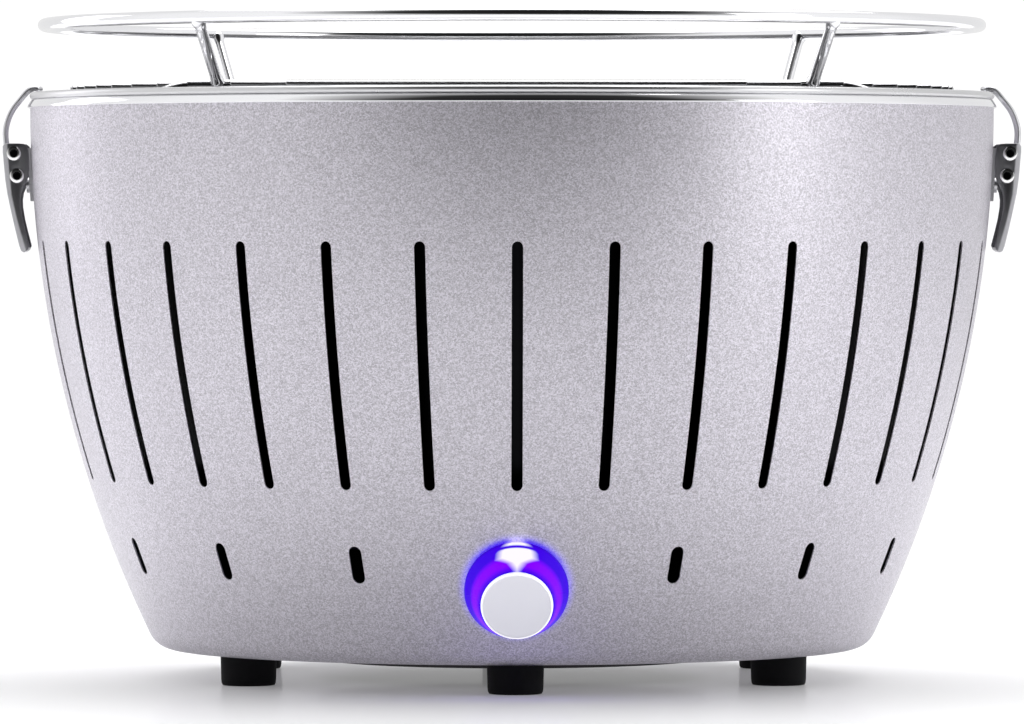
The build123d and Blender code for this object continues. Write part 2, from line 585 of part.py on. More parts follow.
def make_latch(side, azimuth):
    across = meridian(azimuth)

    # Bracket: a strip shaped to the bowl, with two ears that carry the pivot pin
    half_angle = math.degrees(EAR_OUTER_Y / RIM_R)
    middle = (BRACKET_LOW_Z + BRACKET_HIGH_Z) / 2
    with BuildPart() as bracket:
        with BuildSketch(meridian(azimuth - half_angle)):
            with BuildLine():
                ThreePointArc(
                    (wall_radius(BRACKET_LOW_Z), BRACKET_LOW_Z),
                    (wall_radius(middle), middle),
                    (wall_radius(BRACKET_HIGH_Z), BRACKET_HIGH_Z),
                )
                Line(
                    (wall_radius(BRACKET_HIGH_Z), BRACKET_HIGH_Z),
                    (wall_radius(BRACKET_HIGH_Z, -BRACKET_SHEET), BRACKET_HIGH_Z),
                )
                ThreePointArc(
                    (wall_radius(BRACKET_HIGH_Z, -BRACKET_SHEET), BRACKET_HIGH_Z),
                    (wall_radius(middle, -BRACKET_SHEET), middle),
                    (wall_radius(BRACKET_LOW_Z, -BRACKET_SHEET), BRACKET_LOW_Z),
                )
                Line(
                    (wall_radius(BRACKET_LOW_Z, -BRACKET_SHEET), BRACKET_LOW_Z),
                    (wall_radius(BRACKET_LOW_Z), BRACKET_LOW_Z),
                )
            make_face()
        revolve(axis=Axis.Z, revolution_arc=2 * half_angle)
        ear_root = wall_radius(PIVOT_PIN[1]) + BRACKET_SHEET / 2
        for face in (-EAR_OUTER_Y, EAR_OUTER_Y - BRACKET_SHEET):
            with BuildSketch(meridian(azimuth, face)):
                with Locations(PIVOT_PIN):
                    Circle(EAR_R)
                with Locations((ear_root, PIVOT_PIN[1] - EAR_R)):
                    Rectangle(PIVOT_PIN[0] - ear_root, EAR_R + 1.9, align=Align.MIN)
                with Locations(PIVOT_PIN):
                    Circle(PIVOT_PIN_R, mode=Mode.SUBTRACT)
            extrude(amount=BRACKET_SHEET)
        with BuildSketch(on_wall(azimuth, RIVET_Z, -BRACKET_SHEET)):
            Circle(RIVET_R)
        extrude(amount=3 * BRACKET_SHEET, mode=Mode.SUBTRACT)
    save(bracket.part, f"latch_bracket_{side}")

    # Lever: a channel of sheet, open towards the bowl, slotted at the top for the bail
    outer = lever_outer_edge()
    inner = lever_inner_edge()
    web_back = [(r - LEVER_SHEET, z) for r, z in reversed(outer)]
    with BuildPart() as lever:
        for face in (-LEVER_HALF_WIDTH, LEVER_HALF_WIDTH - LEVER_SHEET):
            with BuildSketch(meridian(azimuth, face)):
                with BuildLine():
                    Polyline(*outer, *inner, close=True)
                make_face()
            extrude(amount=LEVER_SHEET)
        with BuildSketch(across):
            with BuildLine():
                Polyline(*outer, *web_back, close=True)
            make_face()
        extrude(amount=LEVER_HALF_WIDTH, both=True)
        with BuildSketch(across):
            with Locations(PIVOT_PIN):
                Circle(PIVOT_PIN_R + SHAFT_CLEARANCE)
            with Locations(BAIL_PIN):
                Circle(BAIL_PIN_R + SHAFT_CLEARANCE)
        extrude(amount=LEVER_HALF_WIDTH + 1, both=True, mode=Mode.SUBTRACT)
        with BuildSketch(facing(azimuth, LEVER_SLOT_LOW_Z, PIVOT_PIN[0])):
            with Locations((0, 0)):
                Rectangle(2 * LEVER_SLOT_HALF, 30, align=(Align.CENTER, Align.MIN))
        extrude(amount=10, mode=Mode.SUBTRACT)
    save(lever.part, f"latch_lever_{side}")

    # Bail pin, which turns in the lever's sides
    with BuildPart() as bail_pin:
        with BuildSketch(across):
            with Locations(BAIL_PIN):
                Circle(BAIL_PIN_R)
        extrude(amount=LEVER_HALF_WIDTH + PIN_END_GAP, both=True)
        for way in (1, -1):
            face = way * (LEVER_HALF_WIDTH + PIN_END_GAP)
            with BuildSketch(meridian(azimuth, face)):
                with Locations(BAIL_PIN):
                    Circle(PIN_HEAD_R)
            extrude(amount=way * PIN_HEAD_HEIGHT)
            with BuildSketch(meridian(azimuth, face + way * PIN_HEAD_HEIGHT)):
                with Locations(BAIL_PIN):
                    Circle(PIN_HEAD_R / 2)
            extrude(amount=-way * PIN_DIMPLE, mode=Mode.SUBTRACT)
    save(bail_pin.part, f"bail_pin_{side}")

    # Bail: one wire loop, up past the pivot pin and over the liner's bead
    hook_z = BEAD_TOP_Z + BAIL_WIRE_R + 0.5
    leg = [
        BAIL_PIN,
        (PIVOT_PIN[0] + 2.4, PIVOT_PIN[1] - 3.2),
        (PIVOT_PIN[0] + 3.2, PIVOT_PIN[1] + 2.3),
        (PIVOT_PIN[0] + 3.4, BEAD_TOP_Z - 12.7),
        (BEAD_R + 8.0, BEAD_TOP_Z - 7.1),
        (BEAD_R + 5.2, BEAD_TOP_Z - 3.0),
        (BEAD_R + 2.0, BEAD_TOP_Z + 0.6),
        (BEAD_R + 0.4, hook_z),
        (BEAD_R - 2.4, hook_z),
    ]
    one_leg = [across.from_local_coords((r, z, BAIL_HALF_WIDTH)) for r, z in leg]
    other_leg = [across.from_local_coords((r, z, -BAIL_HALF_WIDTH)) for r, z in leg]
    bends = [2.5] * (len(leg) - 3) + [1.2, 1.4, 1.4, 1.2] + [2.5] * (len(leg) - 3)
    with BuildPart() as bail:
        with BuildLine() as path:
            FilletPolyline(*one_leg, *reversed(other_leg), radius=bends)
        with BuildSketch(Plane(origin=path.line @ 0, z_dir=path.line % 0)):
            Circle(BAIL_WIRE_R)
        sweep()
        with BuildSketch(across):
            with Locations(BAIL_PIN):
                Circle(BAIL_PIN_R)
        extrude(amount=LEVER_HALF_WIDTH, both=True, mode=Mode.SUBTRACT)
    save(bail.part, f"latch_bail_{side}")


def make_base_housing():
    screw_circle = HOUSING_R + HOUSING_FLANGE / 2
    with BuildPart() as base_housing:
        with BuildSketch(Plane.XY.offset(HOUSING_LOW_Z)):
            Circle(HOUSING_R)
            Circle(COVER_R + COVER_CLEARANCE, mode=Mode.SUBTRACT)
        extrude(amount=HOUSING_FLOOR)
        with BuildSketch(Plane.XY.offset(HOUSING_LOW_Z)):
            Circle(HOUSING_R)
            Circle(HOUSING_R - HOUSING_WALL, mode=Mode.SUBTRACT)
        extrude(amount=HOUSING_TOP_Z - HOUSING_LOW_Z)
        with BuildSketch(Plane.XY.offset(FLOOR_TOP_Z)):
            Circle(HOUSING_R + HOUSING_FLANGE)
            Circle(HOUSING_R - HOUSING_WALL / 2, mode=Mode.SUBTRACT)
            with PolarLocations(screw_circle, HOUSING_SCREWS, start_angle=45):
                Circle(HOUSING_SCREW_R, mode=Mode.SUBTRACT)
        extrude(amount=HOUSING_FLANGE_WALL)
        # Notches that let the cover's tabs through once it has been turned
        with BuildSketch(Plane.XY.offset(HOUSING_LOW_Z)):
            with PolarLocations(COVER_R + 1.5, COVER_TABS, start_angle=30):
                Rectangle(*COVER_NOTCH)
        extrude(amount=HOUSING_FLOOR, mode=Mode.SUBTRACT)
    save(base_housing.part, "base_housing")

    with BuildPart() as housing_screws:
        with BuildSketch(Plane.XY.offset(FOOT_HEIGHT)):
            with PolarLocations(screw_circle, HOUSING_SCREWS, start_angle=45):
                Circle(2 * HOUSING_SCREW_R)
        extrude(amount=-HOUSING_SCREW_HEAD)
        with BuildSketch(Plane.XY.offset(FOOT_HEIGHT)):
            with PolarLocations(screw_circle, HOUSING_SCREWS, start_angle=45):
                Circle(HOUSING_SCREW_R)
        extrude(amount=BOWL_WALL + HOUSING_FLANGE_WALL)
        with BuildSketch(Plane.XY.offset(FOOT_HEIGHT - HOUSING_SCREW_HEAD)):
            with PolarLocations(screw_circle, HOUSING_SCREWS, start_angle=45):
                Rectangle(*CROSS_SLOT)
                Rectangle(*CROSS_SLOT, rotation=90)
        extrude(amount=CROSS_SLOT_DEPTH, mode=Mode.SUBTRACT)
    save(housing_screws.part, "housing_screws")

    with BuildPart() as housing_deck:
        with BuildSketch(Plane.XY.offset(HOUSING_TOP_Z)):
            Circle(HOUSING_R)
            with Locations((0, -HOUSING_R + LEAD_HOLE_INSET), (0, HOUSING_R - LEAD_HOLE_INSET)):
                Circle(LEAD_HOLE_R, mode=Mode.SUBTRACT)
        extrude(amount=DECK_WALL)
    save(housing_deck.part, "housing_deck")


def make_battery_bay():
    rows = CELL_COUNT * CELL_PITCH
    with BuildPart() as battery_tray:
        with BuildSketch(Plane.XY.offset(CELL_LOW_Z)):
            Rectangle(rows + 2 * TRAY_WALL, CELL_LENGTH + 2 * CONTACT_SHEET + 2 * TRAY_WALL)
            with GridLocations(CELL_PITCH, 0, CELL_COUNT, 1):
                Rectangle(CELL_PITCH - 0.5, CELL_LENGTH + 2 * CONTACT_SHEET, mode=Mode.SUBTRACT)
        extrude(amount=HOUSING_TOP_Z - CELL_LOW_Z)
    save(battery_tray.part, "battery_tray")

    for index in range(CELL_COUNT):
        column = (index - (CELL_COUNT - 1) / 2) * CELL_PITCH
        way = 1 if index % 2 else -1
        with BuildPart() as cell:
            with BuildSketch(Plane(origin=(column, -way * CELL_LENGTH / 2, CELL_Z), z_dir=(0, way, 0))):
                Circle(CELL_R)
            extrude(amount=CELL_LENGTH - CELL_NUB_HEIGHT)
            fillet(cell.edges().filter_by(GeomType.CIRCLE), CELL_EDGE_R)
            with BuildSketch(Plane(origin=(column, way * CELL_LENGTH / 2, CELL_Z), z_dir=(0, way, 0))):
                Circle(CELL_NUB_R)
            extrude(amount=-2 * CELL_NUB_HEIGHT)
        save(cell.part, f"battery_cell_{index + 1}")

    with BuildPart() as battery_contacts:
        for side in (-1, 1):
            end = Vector(0, side * CELL_LENGTH / 2, CELL_Z)
            with BuildSketch(Plane(origin=end, x_dir=(1, 0, 0), z_dir=(0, side, 0))):
                with GridLocations(CELL_PITCH, 0, CELL_COUNT, 1):
                    Rectangle(*CONTACT_SIZE)
            extrude(amount=CONTACT_SHEET)
    save(battery_contacts.part, "battery_contacts")

    tab_z = HOUSING_FLOOR_Z + COVER_CLEARANCE
    with BuildPart() as battery_cover:
        with BuildSketch(Plane.XY.offset(HOUSING_LOW_Z)):
            Circle(COVER_R)
        extrude(amount=HOUSING_FLOOR)
        with BuildSketch(Plane.XY.offset(HOUSING_FLOOR_Z)):
            Circle(COVER_R - 0.6)
            Circle(COVER_R - 3.0, mode=Mode.SUBTRACT)
        extrude(amount=CELL_LOW_Z - HOUSING_FLOOR_Z - COVER_CLEARANCE)
        with BuildSketch(Plane.XY.offset(tab_z)):
            with PolarLocations(COVER_R + 0.5, COVER_TABS, start_angle=0):
                Rectangle(*COVER_TAB)
        extrude(amount=COVER_TAB_WALL)
        with BuildSketch(Plane.XY.offset(HOUSING_LOW_Z)):
            SlotOverall(*COIN_SLOT)
        extrude(amount=COIN_SLOT_DEPTH, mode=Mode.SUBTRACT)
    save(battery_cover.part, "battery_cover")

    with BuildPart() as cover_seal:
        with Locations((0, 0, HOUSING_FLOOR_Z + SEAL_WIRE_R)):
            Torus(COVER_R - 4.2, SEAL_WIRE_R)
    save(cover_seal.part, "cover_seal")


def make_electronics():
    board_y = -HOUSING_R + BOARD_INSET
    board_z = DECK_Z + BOARD_RISE
    with BuildPart() as circuit_board:
        with BuildSketch(Plane.XY.offset(board_z)):
            with Locations((BOARD_X, board_y)):
                Rectangle(*BOARD_SIZE)
        extrude(amount=BOARD_SHEET)
    save(circuit_board.part, "circuit_board")
    with BuildPart() as board_spacers:
        with BuildSketch(Plane.XY.offset(DECK_Z)):
            with Locations((BOARD_X, board_y)):
                with GridLocations(*SPACER_GRID, 2, 2):
                    Circle(SPACER_R)
        extrude(amount=BOARD_RISE)
    save(board_spacers.part, "board_spacers")
    with BuildPart() as board_components:
        with BuildSketch(Plane.XY.offset(board_z + BOARD_SHEET)):
            with Locations((BOARD_X + 9, board_y)):
                Rectangle(7, 8)
            with Locations((BOARD_X - 12, board_y + 4), (BOARD_X - 5, board_y + 4)):
                Circle(COIL_R)
            with Locations((BOARD_X - 7, board_y - 5)):
                Rectangle(10, 4)
        extrude(amount=COMPONENT_HEIGHT)
    save(board_components.part, "board_components")


def make_fan():
    post_r = DUCT_R + FAN_POST_OUT
    with BuildPart() as fan_housing:
        with BuildSketch(Plane.XY.offset(DUCT_LOW_Z)):
            Circle(DUCT_R + DUCT_FLANGE)
            Circle(DUCT_R, mode=Mode.SUBTRACT)
            Circle(HUB_R)
            with PolarLocations((DUCT_R + HUB_R) / 2, 3, start_angle=90):
                Rectangle(DUCT_R - HUB_R + 4, FAN_ARM_WIDTH)
        extrude(amount=MOTOR_Z - DUCT_LOW_Z)
        with BuildSketch(Plane.XY.offset(DUCT_LOW_Z)):
            Circle(DUCT_R + DUCT_WALL)
            Circle(DUCT_R, mode=Mode.SUBTRACT)
        extrude(amount=DUCT_TOP_Z - DUCT_LOW_Z)
        with BuildSketch(Plane.XY.offset(DECK_Z)):
            with PolarLocations(post_r, 4, start_angle=45):
                Circle(FAN_POST_R)
        extrude(amount=DUCT_LOW_Z - DECK_Z)
    save(fan_housing.part, "fan_housing")

    with BuildPart() as fan_motor:
        with BuildSketch(Plane.XY.offset(MOTOR_Z)):
            Circle(MOTOR_R)
        extrude(amount=MOTOR_HEIGHT)
        fillet(fan_motor.edges().sort_by(Axis.Z)[-1], 1.0)
        with BuildSketch(Plane.XY.offset(MOTOR_Z + MOTOR_HEIGHT)):
            Circle(SHAFT_R + SHAFT_CLEARANCE)
        extrude(amount=-5, mode=Mode.SUBTRACT)
    save(fan_motor.part, "fan_motor")

    hub_low = MOTOR_Z + 3
    hub_top = MOTOR_Z + MOTOR_HEIGHT + HUB_GAP
    with BuildPart() as impeller:
        with BuildSketch(Plane.XY.offset(hub_low)):
            Circle(HUB_R)
            Circle(MOTOR_R + 1.0, mode=Mode.SUBTRACT)
        extrude(amount=hub_top - hub_low)
        with BuildSketch(Plane.XY.offset(hub_top)):
            Circle(HUB_R)
        extrude(amount=HUB_WALL)
        # Blades set at a slant, from the hub to just inside the duct
        span = DUCT_R - BLADE_GAP - HUB_R
        for blade in range(BLADES):
            turn = math.radians(blade * 360 / BLADES)
            outward = Vector(math.cos(turn), math.sin(turn), 0)
            root = outward * (HUB_R - 0.6) + Vector(0, 0, (hub_low + hub_top) / 2)
            tilt = Plane(origin=root, z_dir=outward, x_dir=Vector(0, 0, 1)).rotated((0, 0, BLADE_PITCH))
            with BuildSketch(tilt):
                Rectangle(BLADE_CHORD, BLADE_WALL)
            extrude(amount=span)
        with BuildSketch(Plane.XY.offset(hub_top)):
            Circle(SHAFT_R)
        extrude(amount=3, mode=Mode.SUBTRACT)
    save(impeller.part, "impeller")

    with BuildPart() as motor_shaft:
        with BuildSketch(Plane.XY.offset(MOTOR_Z + MOTOR_HEIGHT - 4)):
            Circle(SHAFT_R)
        extrude(amount=4 + HUB_GAP + HUB_WALL + 0.6)
    save(motor_shaft.part, "motor_shaft")


def make_charcoal():
    with BuildPart() as fire_plate:
        with BuildSketch(Plane.XY.offset(NECK_TOP_Z)):
            Circle(FIRE_PLATE_R)
            for ring in (9, 19, 29):
                with PolarLocations(ring, ring * 2 // 3):
                    Circle(PLATE_HOLE_R, mode=Mode.SUBTRACT)
        extrude(amount=FIRE_PLATE_WALL)
    save(fire_plate.part, "fire_plate")

    with BuildPart() as charcoal_basket:
        with BuildSketch(Plane.XY.offset(BASKET_Z)):
            Circle(BASKET_R)
            for ring in (10, 20, 30, 40, 50):
                with PolarLocations(ring, ring * 3 // 5):
                    Circle(BASKET_HOLE_R, mode=Mode.SUBTRACT)
        extrude(amount=BASKET_WALL)
        with BuildSketch(Plane.XY.offset(BASKET_Z)):
            Circle(BASKET_R)
            Circle(BASKET_R - BASKET_WALL, mode=Mode.SUBTRACT)
        extrude(amount=BASKET_HEIGHT)
        for step in range(BASKET_SLOTS):
            azimuth = (step + 0.5) * 360 / BASKET_SLOTS
            with BuildSketch(facing(azimuth, BASKET_Z + BASKET_HEIGHT / 2)):
                SlotOverall(BASKET_HEIGHT * 0.6, BASKET_SLOT_WIDTH, rotation=90)
        extrude(amount=BASKET_R + 5, mode=Mode.SUBTRACT)
    save(charcoal_basket.part, "charcoal_basket")

    side = BASKET_R - BASKET_WALL - HANDLE_WIRE_R
    low = BASKET_TOP_Z - 8
    top = BASKET_TOP_Z + HANDLE_RISE
    with BuildPart() as basket_handle:
        with BuildLine() as path:
            FilletPolyline(
                (-side, 0, low), (-side, 0, BASKET_TOP_Z + 4), (-side / 2, 0, top),
                (side / 2, 0, top), (side, 0, BASKET_TOP_Z + 4), (side, 0, low),
                radius=HANDLE_BEND_R,
            )
        with BuildSketch(Plane(origin=path.line @ 0, z_dir=path.line % 0)):
            Circle(HANDLE_WIRE_R)
        sweep()
    save(basket_handle.part, "basket_handle")


def make_knob():
    with BuildPart() as switch_body:
        with BuildSketch(knob_plane(-SWITCH_GAP)):
            RectangleRounded(SWITCH_SIZE, SWITCH_SIZE, 2)
        extrude(amount=-SWITCH_DEPTH)
        with BuildSketch(knob_plane(-SWITCH_GAP)):
            Circle(BUSHING_R)
        extrude(amount=SWITCH_GAP + NUT_GAP + SWITCH_NUT_HEIGHT + NUT_GAP)
        with BuildSketch(knob_plane(-SWITCH_GAP - SWITCH_DEPTH / 2)):
            Circle(KNOB_SHAFT_R + SHAFT_CLEARANCE)
        extrude(amount=SWITCH_DEPTH + 20, mode=Mode.SUBTRACT)
    save(switch_body.part, "switch_body")

    with BuildPart() as switch_nut:
        with BuildSketch(knob_plane(NUT_GAP)):
            RegularPolygon(SWITCH_NUT_R, 6)
            Circle(BUSHING_R, mode=Mode.SUBTRACT)
        extrude(amount=SWITCH_NUT_HEIGHT)
    save(switch_nut.part, "switch_nut")

    # Lamp ring on the bowl's face, shaped to the wall behind it
    with BuildPart() as lamp_ring:
        with BuildSketch(knob_plane(-SWITCH_GAP)):
            Circle(KNOB_BASE_R - 2)
            Circle(LAMP_INNER_R, mode=Mode.SUBTRACT)
        extrude(amount=LAMP_WALL)
        with BuildSketch(Plane.XZ):
            with BuildLine():
                Line((0, 0), (wall_radius(0), 0))
                ThreePointArc((wall_radius(0), 0), (wall_radius(40), 40), (wall_radius(80), 80))
                Line((wall_radius(80), 80), (0, 80))
                Line((0, 80), (0, 0))
            make_face()
        revolve(axis=Axis.Z, mode=Mode.SUBTRACT)
    save(lamp_ring.part, "lamp_ring")

    with BuildPart() as knob_body:
        with BuildSketch(knob_plane(KNOB_GAP)):
            Circle(KNOB_BASE_R)
        with BuildSketch(knob_plane(KNOB_HEIGHT)):
            Circle(KNOB_TIP_R)
        loft()
        with BuildSketch(knob_plane(0)):
            Circle(KNOB_BASE_R - KNOB_WALL)
        with BuildSketch(knob_plane(KNOB_HEIGHT - KNOB_WALL)):
            Circle(KNOB_TIP_R - KNOB_WALL)
        loft(mode=Mode.SUBTRACT)
        with BuildSketch(knob_plane(KNOB_HUB_OUT)):
            Circle(KNOB_SHAFT_R + KNOB_HUB_WALL)
        extrude(amount=KNOB_HEIGHT - KNOB_HUB_OUT)
        with BuildSketch(knob_plane(0)):
            Circle(KNOB_SHAFT_R)
        extrude(amount=KNOB_HEIGHT, mode=Mode.SUBTRACT)
    save(knob_body.part, "knob_body")

    with BuildPart() as knob_cap:
        with BuildSketch(knob_plane(KNOB_HEIGHT)):
            Circle(KNOB_CAP_R)
        extrude(amount=KNOB_CAP_HEIGHT)
        fillet(knob_cap.edges().sort_by(Axis.Y)[0], CAP_EDGE_R)
    save(knob_cap.part, "knob_cap")

    with BuildPart() as knob_shaft:
        with BuildSketch(knob_plane(KNOB_HEIGHT)):
            Circle(KNOB_SHAFT_R)
        extrude(amount=-KNOB_HEIGHT - SWITCH_GAP - SWITCH_DEPTH / 2 + 0.5)
    save(knob_shaft.part, "knob_shaft")


def make_leads():
    board_top = DECK_Z + BOARD_RISE + BOARD_SHEET
    back = knob_plane(-SWITCH_GAP - SWITCH_DEPTH)
    joint = Vector(BOARD_X + 2, -HOUSING_R + 10, board_top)
    with BuildPart() as switch_lead:
        with BuildLine() as path:
            FilletPolyline(
                back.origin,
                back.origin - back.z_dir * 5,
                Vector(4, back.origin.Y + 18, back.origin.Z - 1),
                Vector(14, joint.Y - 24, board_top + 7),
                joint + Vector(-2, -8, 6),
                joint + Vector(0, 0, 5),
                joint,
                radius=[4, 10, 10, 5, 3],
            )
        with BuildSketch(Plane(origin=path.line @ 0, z_dir=path.line % 0)):
            Circle(LEAD_R)
        sweep()
    save(switch_lead.part, "switch_lead")

    start = Vector(BOARD_X + 2, -HOUSING_R + 22, board_top)
    end = Vector(5, -5, DUCT_LOW_Z)
    with BuildPart() as motor_lead:
        with BuildLine() as path:
            FilletPolyline(
                start,
                start + Vector(0, 0, 4),
                start + Vector(-5, 12, 5),
                end + Vector(3, -9, -5),
                end - Vector(0, 0, 5),
                end,
                radius=[3, 8, 8, 3],
            )
        with BuildSketch(Plane(origin=path.line @ 0, z_dir=path.line % 0)):
            Circle(LEAD_R)
        sweep()
    save(motor_lead.part, "motor_lead")


make_outer_bowl()
make_rim_trim()
make_inner_bowl()
make_feet()
make_foot_screws()
make_grate()
make_guard()
make_latch_fasteners()
for latch_side, latch_azimuth in LATCHES.items():
    make_latch(latch_side, latch_azimuth)
make_base_housing()
make_battery_bay()
make_electronics()
make_fan()
make_charcoal()
make_knob()
make_leads()
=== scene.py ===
import json
import math

import bmesh
import bpy
from mathutils import Matrix, Vector

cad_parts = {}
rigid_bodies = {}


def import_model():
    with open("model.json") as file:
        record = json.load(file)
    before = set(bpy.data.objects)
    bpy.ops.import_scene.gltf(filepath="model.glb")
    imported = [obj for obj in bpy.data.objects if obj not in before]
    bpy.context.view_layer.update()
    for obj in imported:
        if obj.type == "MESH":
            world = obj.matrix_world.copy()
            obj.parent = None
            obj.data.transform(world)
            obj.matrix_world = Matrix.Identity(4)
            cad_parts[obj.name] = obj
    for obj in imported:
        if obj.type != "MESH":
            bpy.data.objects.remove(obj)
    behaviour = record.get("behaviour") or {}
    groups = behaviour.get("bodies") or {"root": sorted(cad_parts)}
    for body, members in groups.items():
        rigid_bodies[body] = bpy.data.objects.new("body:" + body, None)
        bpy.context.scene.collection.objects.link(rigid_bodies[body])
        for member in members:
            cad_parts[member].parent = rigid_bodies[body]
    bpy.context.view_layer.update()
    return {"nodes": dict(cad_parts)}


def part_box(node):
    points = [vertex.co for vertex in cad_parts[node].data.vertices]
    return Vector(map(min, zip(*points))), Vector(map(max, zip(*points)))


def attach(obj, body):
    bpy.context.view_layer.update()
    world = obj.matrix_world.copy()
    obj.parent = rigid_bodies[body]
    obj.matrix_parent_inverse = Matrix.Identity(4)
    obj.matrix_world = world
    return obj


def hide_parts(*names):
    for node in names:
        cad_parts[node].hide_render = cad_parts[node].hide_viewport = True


bl_info = {
    "name": "Tabletop Grill Builder",
    "version": (1, 0, 0),
    "blender": (4, 5, 0),
    "location": "3D View > Sidebar > Grill",
    "description": "Builds the visible pieces of a round tabletop charcoal grill around its CAD frame",
    "category": "Object",
}

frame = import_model()

MM = 0.001

# Heights and radii taken from the frame
BOWL_LOW, BOWL_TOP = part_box("outer_bowl")[0].z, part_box("outer_bowl")[1].z
RIM_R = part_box("outer_bowl")[1].x
TRIM_LOW, TRIM_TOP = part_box("rim_trim")[0].z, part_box("rim_trim")[1].z
TRIM_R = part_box("rim_trim")[1].x
BEAD_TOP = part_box("inner_bowl")[1].z
LINER_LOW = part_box("inner_bowl")[0].z
LINER_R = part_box("inner_bowl")[1].x
GUARD_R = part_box("guard_ring")[1].x
GUARD_LOW, GUARD_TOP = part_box("guard_ring")[0].z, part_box("guard_ring")[1].z
WIRE_LOW, WIRE_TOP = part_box("grate_wires")[0].z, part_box("grate_wires")[1].z
WIRE_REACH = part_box("grate_wires")[1].y
ROD_LOW, ROD_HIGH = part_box("support_rod_back")
RING_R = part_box("grate_ring")[1].x
RING_LOW, RING_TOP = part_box("grate_ring")[0].z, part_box("grate_ring")[1].z
HOUSING_R = 70.1 * MM
WALL_ARC_R = 440 * MM
PIN_PLACE = (180.0 * MM, 189.7 * MM)
BAIL_PLACE = (178.9 * MM, 181.6 * MM)
LATCH_AZIMUTHS = {"right": 0.0, "left": 180.0}
FRONT = -90.0
ROD_Y = (ROD_LOW.y + ROD_HIGH.y) / 2
WIRE_Z = (WIRE_TOP + WIRE_LOW) / 2

# Sizes that several pieces share
LINER_GAP = 12.0 * MM
BEAD_R = 1.35 * MM
UNDERSIDE_CLEAR = 17.0 * MM
LEVER_HALF_WIDTH = 10.0 * MM
PIN_HEAD_R = 2.7 * MM
PIN_SIDES = 28
POST_FOOT_X = 103.5 * MM
KNOB_Z = 38.4 * MM
KNOB_GAP = 0.9 * MM
KNOB_HEIGHT = 13.6 * MM
SPILL_RADII = (21.5 * MM, 17.5 * MM)
FINE_BUMP, COARSE_BUMP = 0.05 * MM, 0.1 * MM

# Studio
STUDIO_WHITE = 1.05
FLOOR_FADE = (0.45, 0.95)
CAMERA_AZIMUTH, CAMERA_DISTANCE, CAMERA_Z, CAMERA_AIM_Z = -0.63, 2.941, 0.1656, 0.1141


# ---------------------------------------------------------------- small geometry helpers

def wall_radius(height, inset=0.0):
    """Radius of the bowl's outer face at a height, or of a face that far inside it."""
    rise = BOWL_TOP - height
    return RIM_R - WALL_ARC_R + math.sqrt((WALL_ARC_R - inset) ** 2 - rise ** 2)


def spread(low, high, steps):
    """Evenly spaced values from low to high, both ends included."""
    return [low + (high - low) * step / steps for step in range(steps + 1)]


def around(radius, angle, height):
    """Point at a radius, an angle in radians and a height."""
    return Vector((radius * math.cos(angle), radius * math.sin(angle), height))


def corner_arc(low, inset, corner, steps):
    """Profile points of the rounded corner between a dish's floor and its wall, floor end first."""
    centre_r = RIM_R - WALL_ARC_R + math.sqrt(
        (WALL_ARC_R - inset - corner) ** 2 - (BOWL_TOP - low - corner) ** 2)
    centre_z = low + corner
    lean = math.atan2(centre_z - BOWL_TOP, centre_r - RIM_R + WALL_ARC_R)
    return [(centre_r + corner * math.cos(a), centre_z + corner * math.sin(a))
            for a in spread(-math.pi / 2, lean, steps)]


def new_object(name, verts, faces):
    """Mesh object at the origin, linked to the scene."""
    mesh = bpy.data.meshes.new(name)
    mesh.from_pydata([tuple(v) for v in verts], [], faces)
    mesh.update()
    piece = bpy.data.objects.new(name, mesh)
    bpy.context.scene.collection.objects.link(piece)
    return piece


def tidy_normals(piece, merge=1e-6):
    """Merges doubles and turns every face outwards."""
    work = bmesh.new()
    work.from_mesh(piece.data)
    bmesh.ops.remove_doubles(work, verts=work.verts, dist=merge)
    bmesh.ops.recalc_face_normals(work, faces=work.faces)
    work.to_mesh(piece.data)
    work.free()
    piece.data.update()


def smooth_shade(piece, angle=35.0):
    """Smooth faces, with edges sharper than the angle kept crisp."""
    piece.data.shade_smooth()
    piece.data.set_sharp_from_angle(angle=math.radians(angle))


def apply_modifiers(piece):
    """Replaces a piece's mesh with its evaluated mesh and clears its modifiers."""
    bpy.context.view_layer.update()
    graph = bpy.context.evaluated_depsgraph_get()
    result = bpy.data.meshes.new_from_object(piece.evaluated_get(graph))
    piece.modifiers.clear()
    old = piece.data
    piece.data = result
    result.name = piece.name
    if isinstance(old, bpy.types.Mesh):
        bpy.data.meshes.remove(old)


def soften(piece, width, segments=2, angle=35.0):
    """Rounds a piece's hard edges."""
    bevel = piece.modifiers.new("Soft edges", "BEVEL")
    bevel.width = width
    bevel.segments = segments
    bevel.limit_method = "ANGLE"
    bevel.angle_limit = math.radians(angle)
    bevel.harden_normals = False
    apply_modifiers(piece)


def carve(piece, cutter):
    """Takes a cutter's volume out of a piece and removes the cutter."""
    cut = piece.modifiers.new("Carve", "BOOLEAN")
    cut.operation = "DIFFERENCE"
    cut.solver = "EXACT"
    cut.object = cutter
    apply_modifiers(piece)
    bpy.data.objects.remove(cutter)


def lathe(name, profile, steps=240):
    """Closed outline of (radius, height) points turned round the axis."""
    verts, faces = [], []
    count = len(profile)
    for step in range(steps):
        angle = 2 * math.pi * step / steps
        verts.extend(around(r, angle, z) for r, z in profile)
        ahead = (step + 1) % steps
        for index in range(count):
            following = (index + 1) % count
            faces.append((step * count + index, ahead * count + index,
                          ahead * count + following, step * count + following))
    piece = new_object(name, verts, faces)
    tidy_normals(piece)
    return piece


def circle_outline(centre_r, centre_z, radius, steps=20):
    """Round outline for lathe."""
    return [(centre_r + radius * math.cos(a), centre_z + radius * math.sin(a))
            for a in spread(0, 2 * math.pi, steps)[:-1]]


